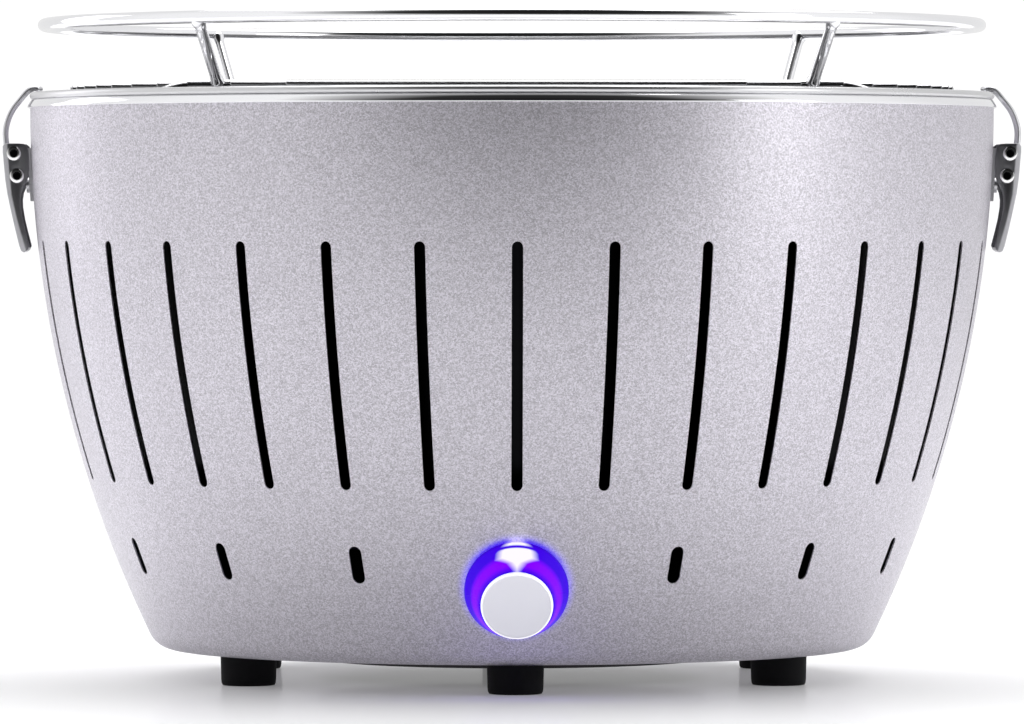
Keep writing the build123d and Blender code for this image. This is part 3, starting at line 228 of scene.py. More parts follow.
def band_faces(rows, sides):
    """Faces between rows of points that each go once round."""
    return [(row * sides + corner, row * sides + (corner + 1) % sides,
             (row + 1) * sides + (corner + 1) % sides, (row + 1) * sides + corner)
            for row in range(rows - 1) for corner in range(sides)]


def tube(name, points, radii, sides=20):
    """Round tube along points, with a radius for each point and closed ends."""
    verts = []
    points = [Vector(p) for p in points]
    side = None
    for index, point in enumerate(points):
        ahead = points[min(index + 1, len(points) - 1)]
        behind = points[max(index - 1, 0)]
        along = (ahead - behind).normalized()
        if side is None:
            side = along.orthogonal().normalized()
        side = (side - along * side.dot(along)).normalized()
        other = along.cross(side)
        for corner in range(sides):
            a = 2 * math.pi * corner / sides
            verts.append(point + (side * math.cos(a) + other * math.sin(a)) * radii[index])
    faces = band_faces(len(points), sides)
    faces.append(tuple(reversed(range(sides))))
    faces.append(tuple(range((len(points) - 1) * sides, len(points) * sides)))
    piece = new_object(name, verts, faces)
    tidy_normals(piece)
    return piece


def smooth_path(points, per_run=6):
    """Catmull-Rom curve through points, ends included."""
    points = [Vector(p) for p in points]
    padded = [2 * points[0] - points[1]] + points + [2 * points[-1] - points[-2]]
    path = []
    for index in range(1, len(padded) - 2):
        before, start, end, after = padded[index - 1:index + 3]
        for t in spread(0, 1, per_run)[:-1]:
            path.append(0.5 * (2 * start + (end - before) * t
                               + (2 * before - 5 * start + 4 * end - after) * t ** 2
                               + (3 * start - before - 3 * end + after) * t ** 3))
    path.append(points[-1])
    return path


def prism(name, outline, low, high, azimuth):
    """Outline of (radius, height) in a meridian plane, given a width across that plane."""
    turn = Matrix.Rotation(math.radians(azimuth), 3, "Z")
    count = len(outline)
    verts = [turn @ Vector((r, y, z)) for y in (low, high) for r, z in outline]
    faces = [tuple(range(count)), tuple(reversed(range(count, 2 * count)))]
    for index in range(count):
        following = (index + 1) % count
        faces.append((index, index + count, following + count, following))
    piece = new_object(name, verts, faces)
    tidy_normals(piece)
    return piece


def place(piece, material, body, slot, *nodes):
    """Gives a finished piece its material and its body, and hides the CAD nodes it stands for; the slot
    argument is not used.
    """
    piece.data.materials.clear()
    piece.data.materials.append(material)
    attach(piece, body)
    if nodes:
        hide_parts(*nodes)
    return piece


def dress(material, *nodes):
    """Puts a material on CAD nodes that keep their own shape."""
    for name in nodes:
        mesh = frame["nodes"][name].data
        mesh.materials.clear()
        mesh.materials.append(material)


# ---------------------------------------------------------------- shader groups

def new_group(name, inputs, outputs):
    """Empty shader group with named sockets; returns the tree and its two end nodes."""
    tree = bpy.data.node_groups.new(name, "ShaderNodeTree")
    for label, kind, value in inputs:
        socket = tree.interface.new_socket(name=label, in_out="INPUT", socket_type=kind)
        socket.default_value = value
    for label, kind in outputs:
        tree.interface.new_socket(name=label, in_out="OUTPUT", socket_type=kind)
    return tree, tree.nodes.new("NodeGroupInput"), tree.nodes.new("NodeGroupOutput")


def object_coordinates(tree):
    """Object coordinates socket."""
    return tree.nodes.new("ShaderNodeTexCoord").outputs["Object"]


def math_node(tree, operation, first, second):
    """Math node; each operand is a socket or a number."""
    node = tree.nodes.new("ShaderNodeMath")
    node.operation = operation
    for index, value in enumerate((first, second)):
        if isinstance(value, (int, float)):
            node.inputs[index].default_value = value
        else:
            tree.links.new(value, node.inputs[index])
    return node.outputs[0]


def object_xyz(tree):
    """X, Y and Z of the object coordinates."""
    apart = tree.nodes.new("ShaderNodeSeparateXYZ")
    tree.links.new(object_coordinates(tree), apart.inputs[0])
    return apart.outputs


def length_of(tree, first, second):
    """Length of a two-part vector."""
    return math_node(tree, "SQRT", math_node(
        tree, "ADD", math_node(tree, "MULTIPLY", first, first),
        math_node(tree, "MULTIPLY", second, second)), 0.0)


def noise_field(tree, vector, scale, detail):
    """Noise from a vector and a scale socket."""
    noise = tree.nodes.new("ShaderNodeTexNoise")
    noise.inputs["Detail"].default_value = detail
    tree.links.new(vector, noise.inputs["Vector"])
    tree.links.new(scale, noise.inputs["Scale"])
    return noise


def bump_normal(tree, height, strength, distance):
    """Normal from a height and a strength socket."""
    bump = tree.nodes.new("ShaderNodeBump")
    bump.inputs["Distance"].default_value = distance
    tree.links.new(strength, bump.inputs["Strength"])
    tree.links.new(height, bump.inputs["Height"])
    return bump.outputs["Normal"]


def group_metal_flakes():
    """Paint flakes: a mask of bright and dark specks and the slight tilt of each one."""
    tree, start, end = new_group(
        "Metal Flakes",
        [("Scale", "NodeSocketFloat", 1500.0), ("Tilt", "NodeSocketFloat", 0.3)],
        [("Mask", "NodeSocketFloat"), ("Normal", "NodeSocketVector")])
    cells = tree.nodes.new("ShaderNodeTexVoronoi")
    tree.links.new(object_coordinates(tree), cells.inputs["Vector"])
    tree.links.new(start.outputs["Scale"], cells.inputs["Scale"])
    grey = tree.nodes.new("ShaderNodeSeparateColor")
    tree.links.new(cells.outputs["Color"], grey.inputs["Color"])
    tree.links.new(grey.outputs["Red"], end.inputs["Mask"])
    tree.links.new(bump_normal(tree, grey.outputs["Green"], start.outputs["Tilt"], FINE_BUMP),
                   end.inputs["Normal"])
    return tree


def group_handling():
    """Soft smudges and faint rubbing that vary a surface's roughness."""
    tree, start, end = new_group(
        "Handling Marks",
        [("Scale", "NodeSocketFloat", 18.0), ("Low", "NodeSocketFloat", 0.2),
         ("High", "NodeSocketFloat", 0.3)],
        [("Roughness", "NodeSocketFloat")])
    noise = noise_field(tree, object_coordinates(tree), start.outputs["Scale"], 5.0)
    noise.inputs["Roughness"].default_value = 0.6
    spread_out = tree.nodes.new("ShaderNodeMapRange")
    spread_out.inputs["From Min"].default_value = 0.3
    spread_out.inputs["From Max"].default_value = 0.7
    tree.links.new(noise.outputs["Fac"], spread_out.inputs["Value"])
    tree.links.new(start.outputs["Low"], spread_out.inputs["To Min"])
    tree.links.new(start.outputs["High"], spread_out.inputs["To Max"])
    tree.links.new(spread_out.outputs["Result"], end.inputs["Roughness"])
    return tree


def group_spun_lines():
    """Fine rings left by spinning or drawing sheet metal: a mask and a normal."""
    tree, start, end = new_group(
        "Spun Lines",
        [("Scale", "NodeSocketFloat", 900.0), ("Depth", "NodeSocketFloat", 0.2)],
        [("Mask", "NodeSocketFloat"), ("Normal", "NodeSocketVector")])
    x, y, z = object_xyz(tree)
    line = tree.nodes.new("ShaderNodeCombineXYZ")
    tree.links.new(length_of(tree, x, y), line.inputs["X"])
    tree.links.new(z, line.inputs["Y"])
    noise = noise_field(tree, line.outputs[0], start.outputs["Scale"], 3.0)
    tree.links.new(noise.outputs["Fac"], end.inputs["Mask"])
    tree.links.new(bump_normal(tree, noise.outputs["Fac"], start.outputs["Depth"], FINE_BUMP),
                   end.inputs["Normal"])
    return tree


def group_moulded_grain():
    """Fine moulded texture of plastic and rubber: a mask and a normal."""
    tree, start, end = new_group(
        "Moulded Grain",
        [("Scale", "NodeSocketFloat", 1200.0), ("Depth", "NodeSocketFloat", 0.25)],
        [("Mask", "NodeSocketFloat"), ("Normal", "NodeSocketVector")])
    noise = noise_field(tree, object_coordinates(tree), start.outputs["Scale"], 4.0)
    tree.links.new(noise.outputs["Fac"], end.inputs["Mask"])
    tree.links.new(bump_normal(tree, noise.outputs["Fac"], start.outputs["Depth"], COARSE_BUMP),
                   end.inputs["Normal"])
    return tree


def group_wall_side():
    """Masks for the outer and inner side of the bowl's wall curve, between two heights."""
    tree, start, end = new_group(
        "Wall Side",
        [("Inset", "NodeSocketFloat", 0.0), ("Low", "NodeSocketFloat", -1.0),
         ("High", "NodeSocketFloat", 1.0)],
        [("Outside", "NodeSocketFloat"), ("Inside", "NodeSocketFloat")])
    x, y, z = object_xyz(tree)
    rise = math_node(tree, "SUBTRACT", BOWL_TOP, z)
    arc = math_node(tree, "SUBTRACT", WALL_ARC_R, start.outputs["Inset"])
    reach = math_node(tree, "SQRT", math_node(
        tree, "SUBTRACT", math_node(tree, "MULTIPLY", arc, arc),
        math_node(tree, "MULTIPLY", rise, rise)), 0.0)
    wall = math_node(tree, "ADD", reach, RIM_R - WALL_ARC_R)
    outside = math_node(tree, "GREATER_THAN", length_of(tree, x, y), wall)
    between = math_node(tree, "MULTIPLY", math_node(tree, "GREATER_THAN", z, start.outputs["Low"]),
                        math_node(tree, "LESS_THAN", z, start.outputs["High"]))
    inside = math_node(tree, "SUBTRACT", 1.0, outside)
    for label, side in (("Outside", outside), ("Inside", inside)):
        tree.links.new(math_node(tree, "MULTIPLY", side, between), end.inputs[label])
    return tree


def group_knob_space():
    """Where a point lies from the knob's centre: along its axis, across it, up it, and off it."""
    tree, start, end = new_group(
        "Knob Space",
        [("Centre", "NodeSocketVector", knob_centre()), ("Axis", "NodeSocketVector", knob_axis()),
         ("Up", "NodeSocketVector", knob_up())],
        [("Out", "NodeSocketFloat"), ("Sideways", "NodeSocketFloat"),
         ("Upwards", "NodeSocketFloat"), ("Radius", "NodeSocketFloat")])
    shift = tree.nodes.new("ShaderNodeVectorMath")
    shift.operation = "SUBTRACT"
    tree.links.new(object_coordinates(tree), shift.inputs[0])
    tree.links.new(start.outputs["Centre"], shift.inputs[1])
    values = []
    for label, direction in (("Out", start.outputs["Axis"]), ("Sideways", (1.0, 0.0, 0.0)),
                             ("Upwards", start.outputs["Up"])):
        along = tree.nodes.new("ShaderNodeVectorMath")
        along.operation = "DOT_PRODUCT"
        tree.links.new(shift.outputs[0], along.inputs[0])
        if isinstance(direction, tuple):
            along.inputs[1].default_value = direction
        else:
            tree.links.new(direction, along.inputs[1])
        values.append(along.outputs["Value"])
        tree.links.new(values[-1], end.inputs[label])
    tree.links.new(length_of(tree, values[1], values[2]), end.inputs["Radius"])
    return tree


GROUP_MAKERS = {
    "Metal Flakes": group_metal_flakes,
    "Handling Marks": group_handling,
    "Spun Lines": group_spun_lines,
    "Moulded Grain": group_moulded_grain,
    "Wall Side": group_wall_side,
    "Knob Space": group_knob_space,
}


def use_group(tree, name, **values):
    """Places a shared group in a material, with this material's own values."""
    group = bpy.data.node_groups.get(name) or GROUP_MAKERS[name]()
    node = tree.nodes.new("ShaderNodeGroup")
    node.node_tree = group
    for label, value in values.items():
        node.inputs[label].default_value = value
    return node


# ---------------------------------------------------------------- materials

def start_material(name, colour, **values):
    """Material with a Principled shader; constants go straight on its sockets."""
    material = bpy.data.materials.new(name)
    material.use_nodes = True
    tree = material.node_tree
    shader = tree.nodes["Principled BSDF"]
    shader.inputs["Base Color"].default_value = (*colour, 1.0)
    for label, value in values.items():
        shader.inputs[label.replace("_", " ")].default_value = value
    material.diffuse_color = (*colour, 1.0)
    return material, tree, shader


def blend(tree, mask, first, second):
    """Mixes two colours by a mask; each is a socket or a colour."""
    mix = tree.nodes.new("ShaderNodeMix")
    mix.data_type = "RGBA"
    tree.links.new(mask, mix.inputs["Factor"])
    for label, value in (("A", first), ("B", second)):
        if isinstance(value, tuple):
            mix.inputs[label].default_value = (*value, 1.0)
        else:
            tree.links.new(value, mix.inputs[label])
    return mix.outputs["Result"]


def tint(tree, shader, mask, dark, light):
    """Base colour that runs from dark to light with a mask."""
    tree.links.new(blend(tree, mask, dark, light), shader.inputs["Base Color"])


def darken(tree, shader, mask):
    """Makes the side of a sheet wall that never sees light dark, where the mask is 1."""
    colour = shader.inputs["Base Color"].links[0].from_socket
    tree.links.new(blend(tree, mask, colour, (0.006, 0.006, 0.007)), shader.inputs["Base Color"])


def shades(colour, amount):
    """A darker and a lighter version of a colour."""
    return tuple(c * (1 - amount) for c in colour), tuple(min(1.0, c * (1 + amount)) for c in colour)


def marks(tree, shader, low, high, scale=18.0):
    """Roughness that varies softly between two values."""
    node = use_group(tree, "Handling Marks", Scale=scale, Low=low, High=high)
    tree.links.new(node.outputs["Roughness"], shader.inputs["Roughness"])


def flaked_paint(name, colour, scale, contrast):
    """Silver paint with fine metal flakes under a thin lacquer."""
    material, tree, shader = start_material(
        name, colour, Metallic=0.92, Coat_Weight=0.08, Coat_Roughness=0.28)
    flakes = use_group(tree, "Metal Flakes", Scale=scale, Tilt=0.30)
    dark, light = shades(colour, contrast)
    tint(tree, shader, flakes.outputs["Mask"], dark, light)
    # Painted shade: the wall's inner side above the underside is made near black
    side = use_group(tree, "Wall Side", Inset=0.5 * MM, Low=UNDERSIDE_CLEAR)
    darken(tree, shader, side.outputs["Inside"])
    tree.links.new(flakes.outputs["Normal"], shader.inputs["Normal"])
    # Painted light: violet glow from the knob, painted as emission into the paint round it
    knob = use_group(tree, "Knob Space").outputs
    spill = math_node(tree, "MULTIPLY", fade(tree, knob["Radius"], *SPILL_RADII),
                      math_node(tree, "GREATER_THAN", knob["Out"], -8.0 * MM))
    spill = math_node(tree, "POWER", spill, 1.8)
    glow = tuple(bpy.context.scene.grill_finish.glow_edge)
    tree.links.new(blend(tree, spill, (0.0, 0.0, 0.0), glow), shader.inputs["Emission Color"])
    shader.inputs["Emission Strength"].default_value = 1.0
    marks(tree, shader, 0.40, 0.46, 9.0)
    return material


def polished_metal(name, colour, low=0.05, high=0.09):
    """Mirror-bright plated metal."""
    material, tree, shader = start_material(name, colour, Metallic=1.0)
    marks(tree, shader, low, high, 30.0)
    return material


def spun_metal(name, colour, low, high, scale=900.0, depth=0.2):
    """Sheet metal with fine turned lines."""
    material, tree, shader = start_material(name, colour, Metallic=1.0)
    lines = use_group(tree, "Spun Lines", Scale=scale, Depth=depth)
    dark, light = shades(colour, 0.08)
    tint(tree, shader, lines.outputs["Mask"], dark, light)
    tree.links.new(lines.outputs["Normal"], shader.inputs["Normal"])
    marks(tree, shader, low, high, 24.0)
    return material


def pin_steel(name, colour):
    """Bright pin heads with painted shade, near black, in the recess in the middle of each."""
    material = polished_metal(name, colour)
    tree = material.node_tree
    shader = tree.nodes["Principled BSDF"]
    # Painted shade: the recess at the end of each pin is made near black
    x, _, z = object_xyz(tree)
    out = math_node(tree, "ABSOLUTE", x, 0.0)
    nearest = None
    for pin_r, pin_z in (PIN_PLACE, BAIL_PLACE):
        distance = length_of(tree, math_node(tree, "SUBTRACT", out, pin_r),
                             math_node(tree, "SUBTRACT", z, pin_z))
        nearest = math_node(tree, "MINIMUM", nearest, distance) if nearest else distance
    tint(tree, shader, fade(tree, nearest, 1.2 * MM, 1.5 * MM), (0.015, 0.015, 0.017), colour)
    return material


def lever_steel(name, colour, highlight_colour):
    """Dull steel with a painted highlight: a bright strip down the lever's outer face."""
    material, tree, shader = start_material(name, colour, Metallic=1.0)
    # Painted highlight: a bright, non-metallic strip along the lever's outer edge
    x, _, z = object_xyz(tree)
    out = math_node(tree, "ABSOLUTE", x, 0.0)
    pin_r, pin_z = PIN_PLACE
    along = fade(tree, z, pin_z - 35.9 * MM, pin_z + 3.6 * MM)
    swell = colour_ramp(tree, along, [(0.0, (0.0,) * 3), (0.3, (0.48,) * 3), (0.53, (0.77,) * 3),
                                      (1.0, (1.0,) * 3)])
    edge = math_node(tree, "ADD", math_node(tree, "MULTIPLY", swell, 7.0 * MM), pin_r - 2.9 * MM)
    inwards = math_node(tree, "SUBTRACT", edge, out)
    highlight_strip = math_node(tree, "SUBTRACT", 1.0, fade(tree, inwards, 1.3 * MM, 1.9 * MM))
    tint(tree, shader, highlight_strip, colour, highlight_colour)
    tree.links.new(math_node(tree, "SUBTRACT", 1.0, highlight_strip), shader.inputs["Metallic"])
    marks(tree, shader, 0.26, 0.36, 24.0)
    return material


def liner_steel(name, colour):
    """Spun steel with painted shade, near black, on the side that faces the outer bowl."""
    material = spun_metal(name, colour, 0.24, 0.34)
    tree = material.node_tree
    # Painted shade: the side facing the outer bowl is made near black
    side = use_group(tree, "Wall Side", Inset=LINER_GAP + 0.4 * MM, High=BOWL_TOP - 0.5 * MM)
    darken(tree, tree.nodes["Principled BSDF"], side.outputs["Outside"])
    return material


def moulded(name, colour, low, high, scale=1200.0, depth=0.25, **values):
    """Moulded plastic or rubber."""
    material, tree, shader = start_material(name, colour, **values)
    grain = use_group(tree, "Moulded Grain", Scale=scale, Depth=depth)
    dark, light = shades(colour, 0.12)
    tint(tree, shader, grain.outputs["Mask"], dark, light)
    tree.links.new(grain.outputs["Normal"], shader.inputs["Normal"])
    marks(tree, shader, low, high, 40.0)
    return material


def fade(tree, value, low, high):
    """0 below low, 1 above high, and even in between."""
    node = tree.nodes.new("ShaderNodeMapRange")
    node.inputs["From Min"].default_value = low
    node.inputs["From Max"].default_value = high
    tree.links.new(value, node.inputs["Value"])
    return node.outputs["Result"]


def colour_ramp(tree, value, stops):
    """Colour ramp with (position, colour) stops."""
    ramp = tree.nodes.new("ShaderNodeValToRGB")
    elements = ramp.color_ramp.elements
    elements[0].position, elements[1].position = stops[0][0], stops[-1][0]
    for position, _ in stops[1:-1]:
        elements.new(position)
    for element, (_, colour) in zip(elements, stops):
        element.color = (*colour, 1.0)
    tree.links.new(value, ramp.inputs["Fac"])
    return ramp.outputs["Color"]


def lit_lens(name, deep, bright, strength):
    """Violet plastic lit from inside: blue at its edge, violet further out, with a painted white highlight
    at the top.
    """
    material, tree, shader = start_material(name, (0.01, 0.0, 0.03), Roughness=0.25)
    shader.inputs["Specular IOR Level"].default_value = 0.05
    knob = use_group(tree, "Knob Space").outputs
    along = fade(tree, knob["Out"], KNOB_GAP, KNOB_HEIGHT)
    dim = tuple(c * 0.45 for c in deep)
    body = colour_ramp(tree, along, [(0.0, dim), (0.16, deep), (0.42, deep), (0.60, bright), (0.8, bright),
                                     (1.0, deep)])
    # Painted highlight: half width of the white patch along the cone, then its soft edge
    width = colour_ramp(tree, along, [(0.0, (0.30,) * 3), (0.3, (0.70,) * 3), (0.5, (0.74,) * 3),
                                      (0.72, (0.28,) * 3), (1.0, (0.05,) * 3)])
    reach = math_node(tree, "MULTIPLY", width, 9.0 * MM)
    inside = math_node(tree, "SUBTRACT", reach, math_node(tree, "ABSOLUTE", knob["Sideways"], 0.0))
    painted_highlight = math_node(tree, "MULTIPLY", fade(tree, inside, -1.2 * MM, 1.6 * MM), fade(
        tree, knob["Upwards"], 2.0 * MM, 6.0 * MM))
    groove = math_node(tree, "ABSOLUTE", math_node(tree, "SUBTRACT", along, 0.20), 0.0)
    painted_highlight = math_node(tree, "MULTIPLY", painted_highlight, fade(tree, groove, 0.025, 0.06))
    tree.links.new(blend(tree, painted_highlight, body, (0.92, 0.88, 0.95)), shader.inputs["Emission Color"])
    shader.inputs["Emission Strength"].default_value = strength
    return material


def silver_cap(name):
    """Satin plastic disc with a painted highlight on its rim; emission makes the whole disc glow faintly as
    painted light.
    """
    material, tree, shader = start_material(name, (0.88, 0.88, 0.93), Roughness=0.5)
    # Painted highlight on the rim, and painted light: emission glows faintly on the face and more at the rim
    rim = fade(tree, use_group(tree, "Knob Space").outputs["Radius"], 11.8 * MM, 12.0 * MM)
    tint(tree, shader, rim, (0.88, 0.88, 0.93), (1.0, 1.0, 1.0))
    tree.links.new(blend(tree, rim, (0.14, 0.14, 0.16), (0.55, 0.55, 0.57)),
                   shader.inputs["Emission Color"])
    shader.inputs["Emission Strength"].default_value = 1.0
    marks(tree, shader, 0.45, 0.55, 40.0)
    return material


def grill_material(name):
    """Finds a material by name, or makes it from the panel's colours."""
    made = bpy.data.materials.get(name)
    if made:
        return made
    finish = bpy.context.scene.grill_finish
    makers = {
        "flaked_silver_paint": lambda: flaked_paint(
            name, tuple(finish.paint_colour), finish.flake_scale, finish.flake_contrast),
        "polished_chrome": lambda: polished_metal(name, (0.86, 0.86, 0.88)),
        "drawn_stainless_wire": lambda: spun_metal(name, (0.50, 0.50, 0.51), 0.10, 0.18, 600.0, 0.1),
        "spun_stainless_sheet": lambda: spun_metal(name, (0.66, 0.66, 0.67), 0.24, 0.34),
        "latch_steel": lambda: lever_steel(name, (0.20, 0.20, 0.21), (0.62, 0.62, 0.64)),
        "zinc_plate": lambda: spun_metal(name, (0.60, 0.60, 0.62), 0.25, 0.36, 1400.0, 0.15),
        "moulded_rubber": lambda: moulded(name, (0.004, 0.004, 0.005), 0.6, 0.75,
                                          Specular_IOR_Level=0.12),
        "moulded_black": lambda: moulded(name, (0.02, 0.02, 0.022), 0.4, 0.5),
        "moulded_grey": lambda: moulded(name, (0.10, 0.10, 0.11), 0.4, 0.5),
        "cell_film": lambda: moulded(name, (0.05, 0.12, 0.2), 0.2, 0.3, 300.0, 0.05),
        "board_lacquer": lambda: moulded(name, (0.02, 0.16, 0.06), 0.25, 0.35, 700.0, 0.1),
        "lead_insulation": lambda: moulded(name, (0.32, 0.02, 0.015), 0.4, 0.5, 900.0, 0.1),
        "satin_silver_cap": lambda: silver_cap(name),
        "pin_steel": lambda: pin_steel(name, (0.9, 0.9, 0.9)),
        "liner_steel_painted_shade": lambda: liner_steel(name, (0.60, 0.60, 0.61)),
        "lit_violet_lens": lambda: lit_lens(
            name, tuple(finish.glow_edge), tuple(finish.glow_colour), finish.glow_strength),
    }
    return makers[name]()


# ---------------------------------------------------------------- settings

class GrillSizes(bpy.types.PropertyGroup):
    """Sizes of the pieces that are made here."""
    wall: bpy.props.FloatProperty(
        name="Bowl wall", description="Thickness of the bowl's sheet", default=0.8 * MM,
        unit="LENGTH")
    corner: bpy.props.FloatProperty(
        name="Bowl corner", description="Radius between the bowl's wall and its underside",
        default=9.5 * MM, unit="LENGTH")
    sectors: bpy.props.IntProperty(
        name="Long slots", description="How many long slots run round the bowl", default=32, min=8)
    long_width: bpy.props.FloatProperty(
        name="Long slot width", description="Width of the long slots", default=3.9 * MM, unit="LENGTH")
    long_low: bpy.props.FloatProperty(
        name="Long slot foot", description="Height of the long slots' lower ends", default=72.3 * MM,
        unit="LENGTH")
    long_high: bpy.props.FloatProperty(
        name="Long slot top", description="Height of the long slots' upper ends", default=158.3 * MM,
        unit="LENGTH")
    short_width: bpy.props.FloatProperty(
        name="Short slot width", description="Width of the short slots", default=4.7 * MM,
        unit="LENGTH")
    short_low: bpy.props.FloatProperty(
        name="Short slot foot", description="Height of the short slots' lower ends",
        default=39.5 * MM, unit="LENGTH")
    short_high: bpy.props.FloatProperty(
        name="Short slot top", description="Height of the short slots' upper ends",
        default=52.6 * MM, unit="LENGTH")
    wire_pitch: bpy.props.FloatProperty(
        name="Wire pitch", description="Distance between the grate's wires", default=13.2 * MM,
        unit="LENGTH")
    weld: bpy.props.FloatProperty(
        name="Weld swell", description="How far a weld stands out round a rod", default=0.7 * MM,
        unit="LENGTH")


class GrillFinish(bpy.types.PropertyGroup):
    """Colours and surface finish."""
    paint_colour: bpy.props.FloatVectorProperty(
        name="Paint", description="Colour of the bowl's metallic paint", subtype="COLOR",
        default=(0.57, 0.55, 0.60), min=0.0, max=1.0)
    flake_scale: bpy.props.FloatProperty(
        name="Flake scale", description="Flakes per metre in the paint", default=2600.0)
    flake_contrast: bpy.props.FloatProperty(
        name="Flake contrast", description="How much the flakes differ in brightness", default=0.30,
        subtype="FACTOR", min=0.0, max=1.0)
    glow_edge: bpy.props.FloatVectorProperty(
        name="Glow edge", description="Colour of the knob's light at its edge", subtype="COLOR",
        default=(0.04, 0.0, 0.74), min=0.0, max=1.0)
    glow_colour: bpy.props.FloatVectorProperty(
        name="Glow", description="Colour of the knob's light near its middle", subtype="COLOR",
        default=(0.22, 0.0, 1.0), min=0.0, max=1.0)
    glow_strength: bpy.props.FloatProperty(
        name="Glow strength", description="Brightness of the knob's light", default=1.1)


# ---------------------------------------------------------------- bowl

def plain_band(work, angles, heights):
    """Grid of wall faces between angles and heights."""
    rows = [[work.verts.new(around(wall_radius(z), a, z)) for a in angles] for z in heights]
    for low, high in zip(rows, rows[1:]):
        for index in range(len(angles) - 1):
            work.faces.new((low[index], low[index + 1], high[index + 1], high[index]))


def slotted_band(work, angles, heights, slot_width, slot_low, slot_high, rings=4):
    """Wall faces between angles and heights with one round-ended slot left open in the middle."""
    middle = (angles[0] + angles[-1]) / 2
    half = slot_width / 2
    columns = len(angles) - 1
    rows = len(heights) - 1
    inner = []
    for step in range(columns):
        a = math.pi + math.pi * step / columns
        inner.append((half * math.cos(a), slot_low + half + half * math.sin(a)))
    for step in range(rows):
        inner.append((half, slot_low + half + (slot_high - slot_low - 2 * half) * step / rows))
    for step in range(columns):
        a = math.pi * step / columns
        inner.append((half * math.cos(a), slot_high - half + half * math.sin(a)))
    for step in range(rows):
        inner.append((-half, slot_high - half - (slot_high - slot_low - 2 * half) * step / rows))
    outer = [(angles[step], heights[0]) for step in range(columns)]
    outer += [(angles[-1], heights[step]) for step in range(rows)]
    outer += [(angles[columns - step], heights[-1]) for step in range(columns)]
    outer += [(angles[0], heights[rows - step]) for step in range(rows)]
    loops = []
    for t in spread(0, 1, rings):
        eased = t ** 1.3
        loop = []
        for (across, z_in), (angle, z_out) in zip(inner, outer):
            z = z_in + (z_out - z_in) * eased
            slot_angle = middle + math.asin(across / wall_radius(z_in))
            turn = slot_angle + (angle - slot_angle) * eased
            loop.append(work.verts.new(around(wall_radius(z), turn, z)))
        loops.append(loop)
    count = len(inner)
    for near, far in zip(loops, loops[1:]):
        for index in range(count):
            following = (index + 1) % count
            work.faces.new((near[index], near[following], far[following], far[index]))


def make_outer_bowl(sizes):
    """Slotted sheet bowl: one sector of wall, corner and underside, repeated round."""
    work = bmesh.new()
    columns = 8
    corner = corner_arc(BOWL_LOW, 0.0, sizes.corner, 10)
    wall_foot = corner[-1][1]
    for sector in range(sizes.sectors):
        centre = math.radians(FRONT) + 2 * math.pi * sector / sizes.sectors
        half = math.pi / sizes.sectors
        angles = spread(centre - half, centre + half, columns)
        margin = 6 * MM
        short_foot, short_top = sizes.short_low - margin, sizes.short_high + margin
        long_foot, long_top = sizes.long_low - margin, sizes.long_high + margin
        plain_band(work, angles, spread(wall_foot, short_foot, 3))
        short_rows = spread(short_foot, short_top, 5)
        if sector % 2 == 0 and sector > 0:
            slotted_band(work, angles, short_rows, sizes.short_width, sizes.short_low, sizes.short_high)
        else:
            plain_band(work, angles, short_rows)
        plain_band(work, angles, spread(short_top, long_foot, 2))
        slotted_band(work, angles, spread(long_foot, long_top, 16), sizes.long_width,
                     sizes.long_low, sizes.long_high)
        plain_band(work, angles, spread(long_top, BOWL_TOP, 6))
        # Rounded corner and underside
        profile = [(r, BOWL_LOW) for r in spread(HOUSING_R, corner[0][0], 3)] + corner[1:]
        rows = [[work.verts.new(around(r, a, z)) for a in angles] for r, z in profile]
        for low, high in zip(rows, rows[1:]):
            for index in range(columns):
                work.faces.new((low[index], low[index + 1], high[index + 1], high[index]))
    bmesh.ops.remove_doubles(work, verts=work.verts, dist=1e-5)
    bmesh.ops.recalc_face_normals(work, faces=work.faces)
    sample = max(work.faces, key=lambda f: f.calc_center_median().z)
    if sample.normal.dot(sample.calc_center_median() * Vector((1, 1, 0))) < 0:
        bmesh.ops.reverse_faces(work, faces=work.faces)
    mesh = bpy.data.meshes.new("slotted_bowl")
    work.to_mesh(mesh)
    work.free()
    bowl = bpy.data.objects.new("slotted_bowl", mesh)
    bpy.context.scene.collection.objects.link(bowl)
    solid = bowl.modifiers.new("Sheet", "SOLIDIFY")
    solid.thickness = sizes.wall
    solid.offset = -1
    apply_modifiers(bowl)
    smooth_shade(bowl)
    return place(bowl, grill_material("flaked_silver_paint"), "grill", "painted_steel", "outer_bowl")


def make_rim():
    """Flared trim below the bowl's top edge."""
    inner = RIM_R - 2 * MM
    skirt = [
        (inner, TRIM_LOW), (TRIM_R - 0.5 * MM, TRIM_LOW), (TRIM_R - 0.1 * MM, TRIM_LOW + 0.15 * MM),
        (TRIM_R, TRIM_LOW + 0.5 * MM), (TRIM_R - 0.25 * MM, TRIM_LOW + 1.1 * MM),
        (TRIM_R - 0.8 * MM, TRIM_LOW + 2.0 * MM), (RIM_R - 0.1 * MM, TRIM_TOP - 0.35 * MM),
        (RIM_R - 0.5 * MM, TRIM_TOP), (inner, TRIM_TOP),
    ]
    trim = lathe("flared_trim", skirt)
    smooth_shade(trim, 50)
    return place(trim, grill_material("polished_chrome"), "grill", "chrome", "rim_trim")


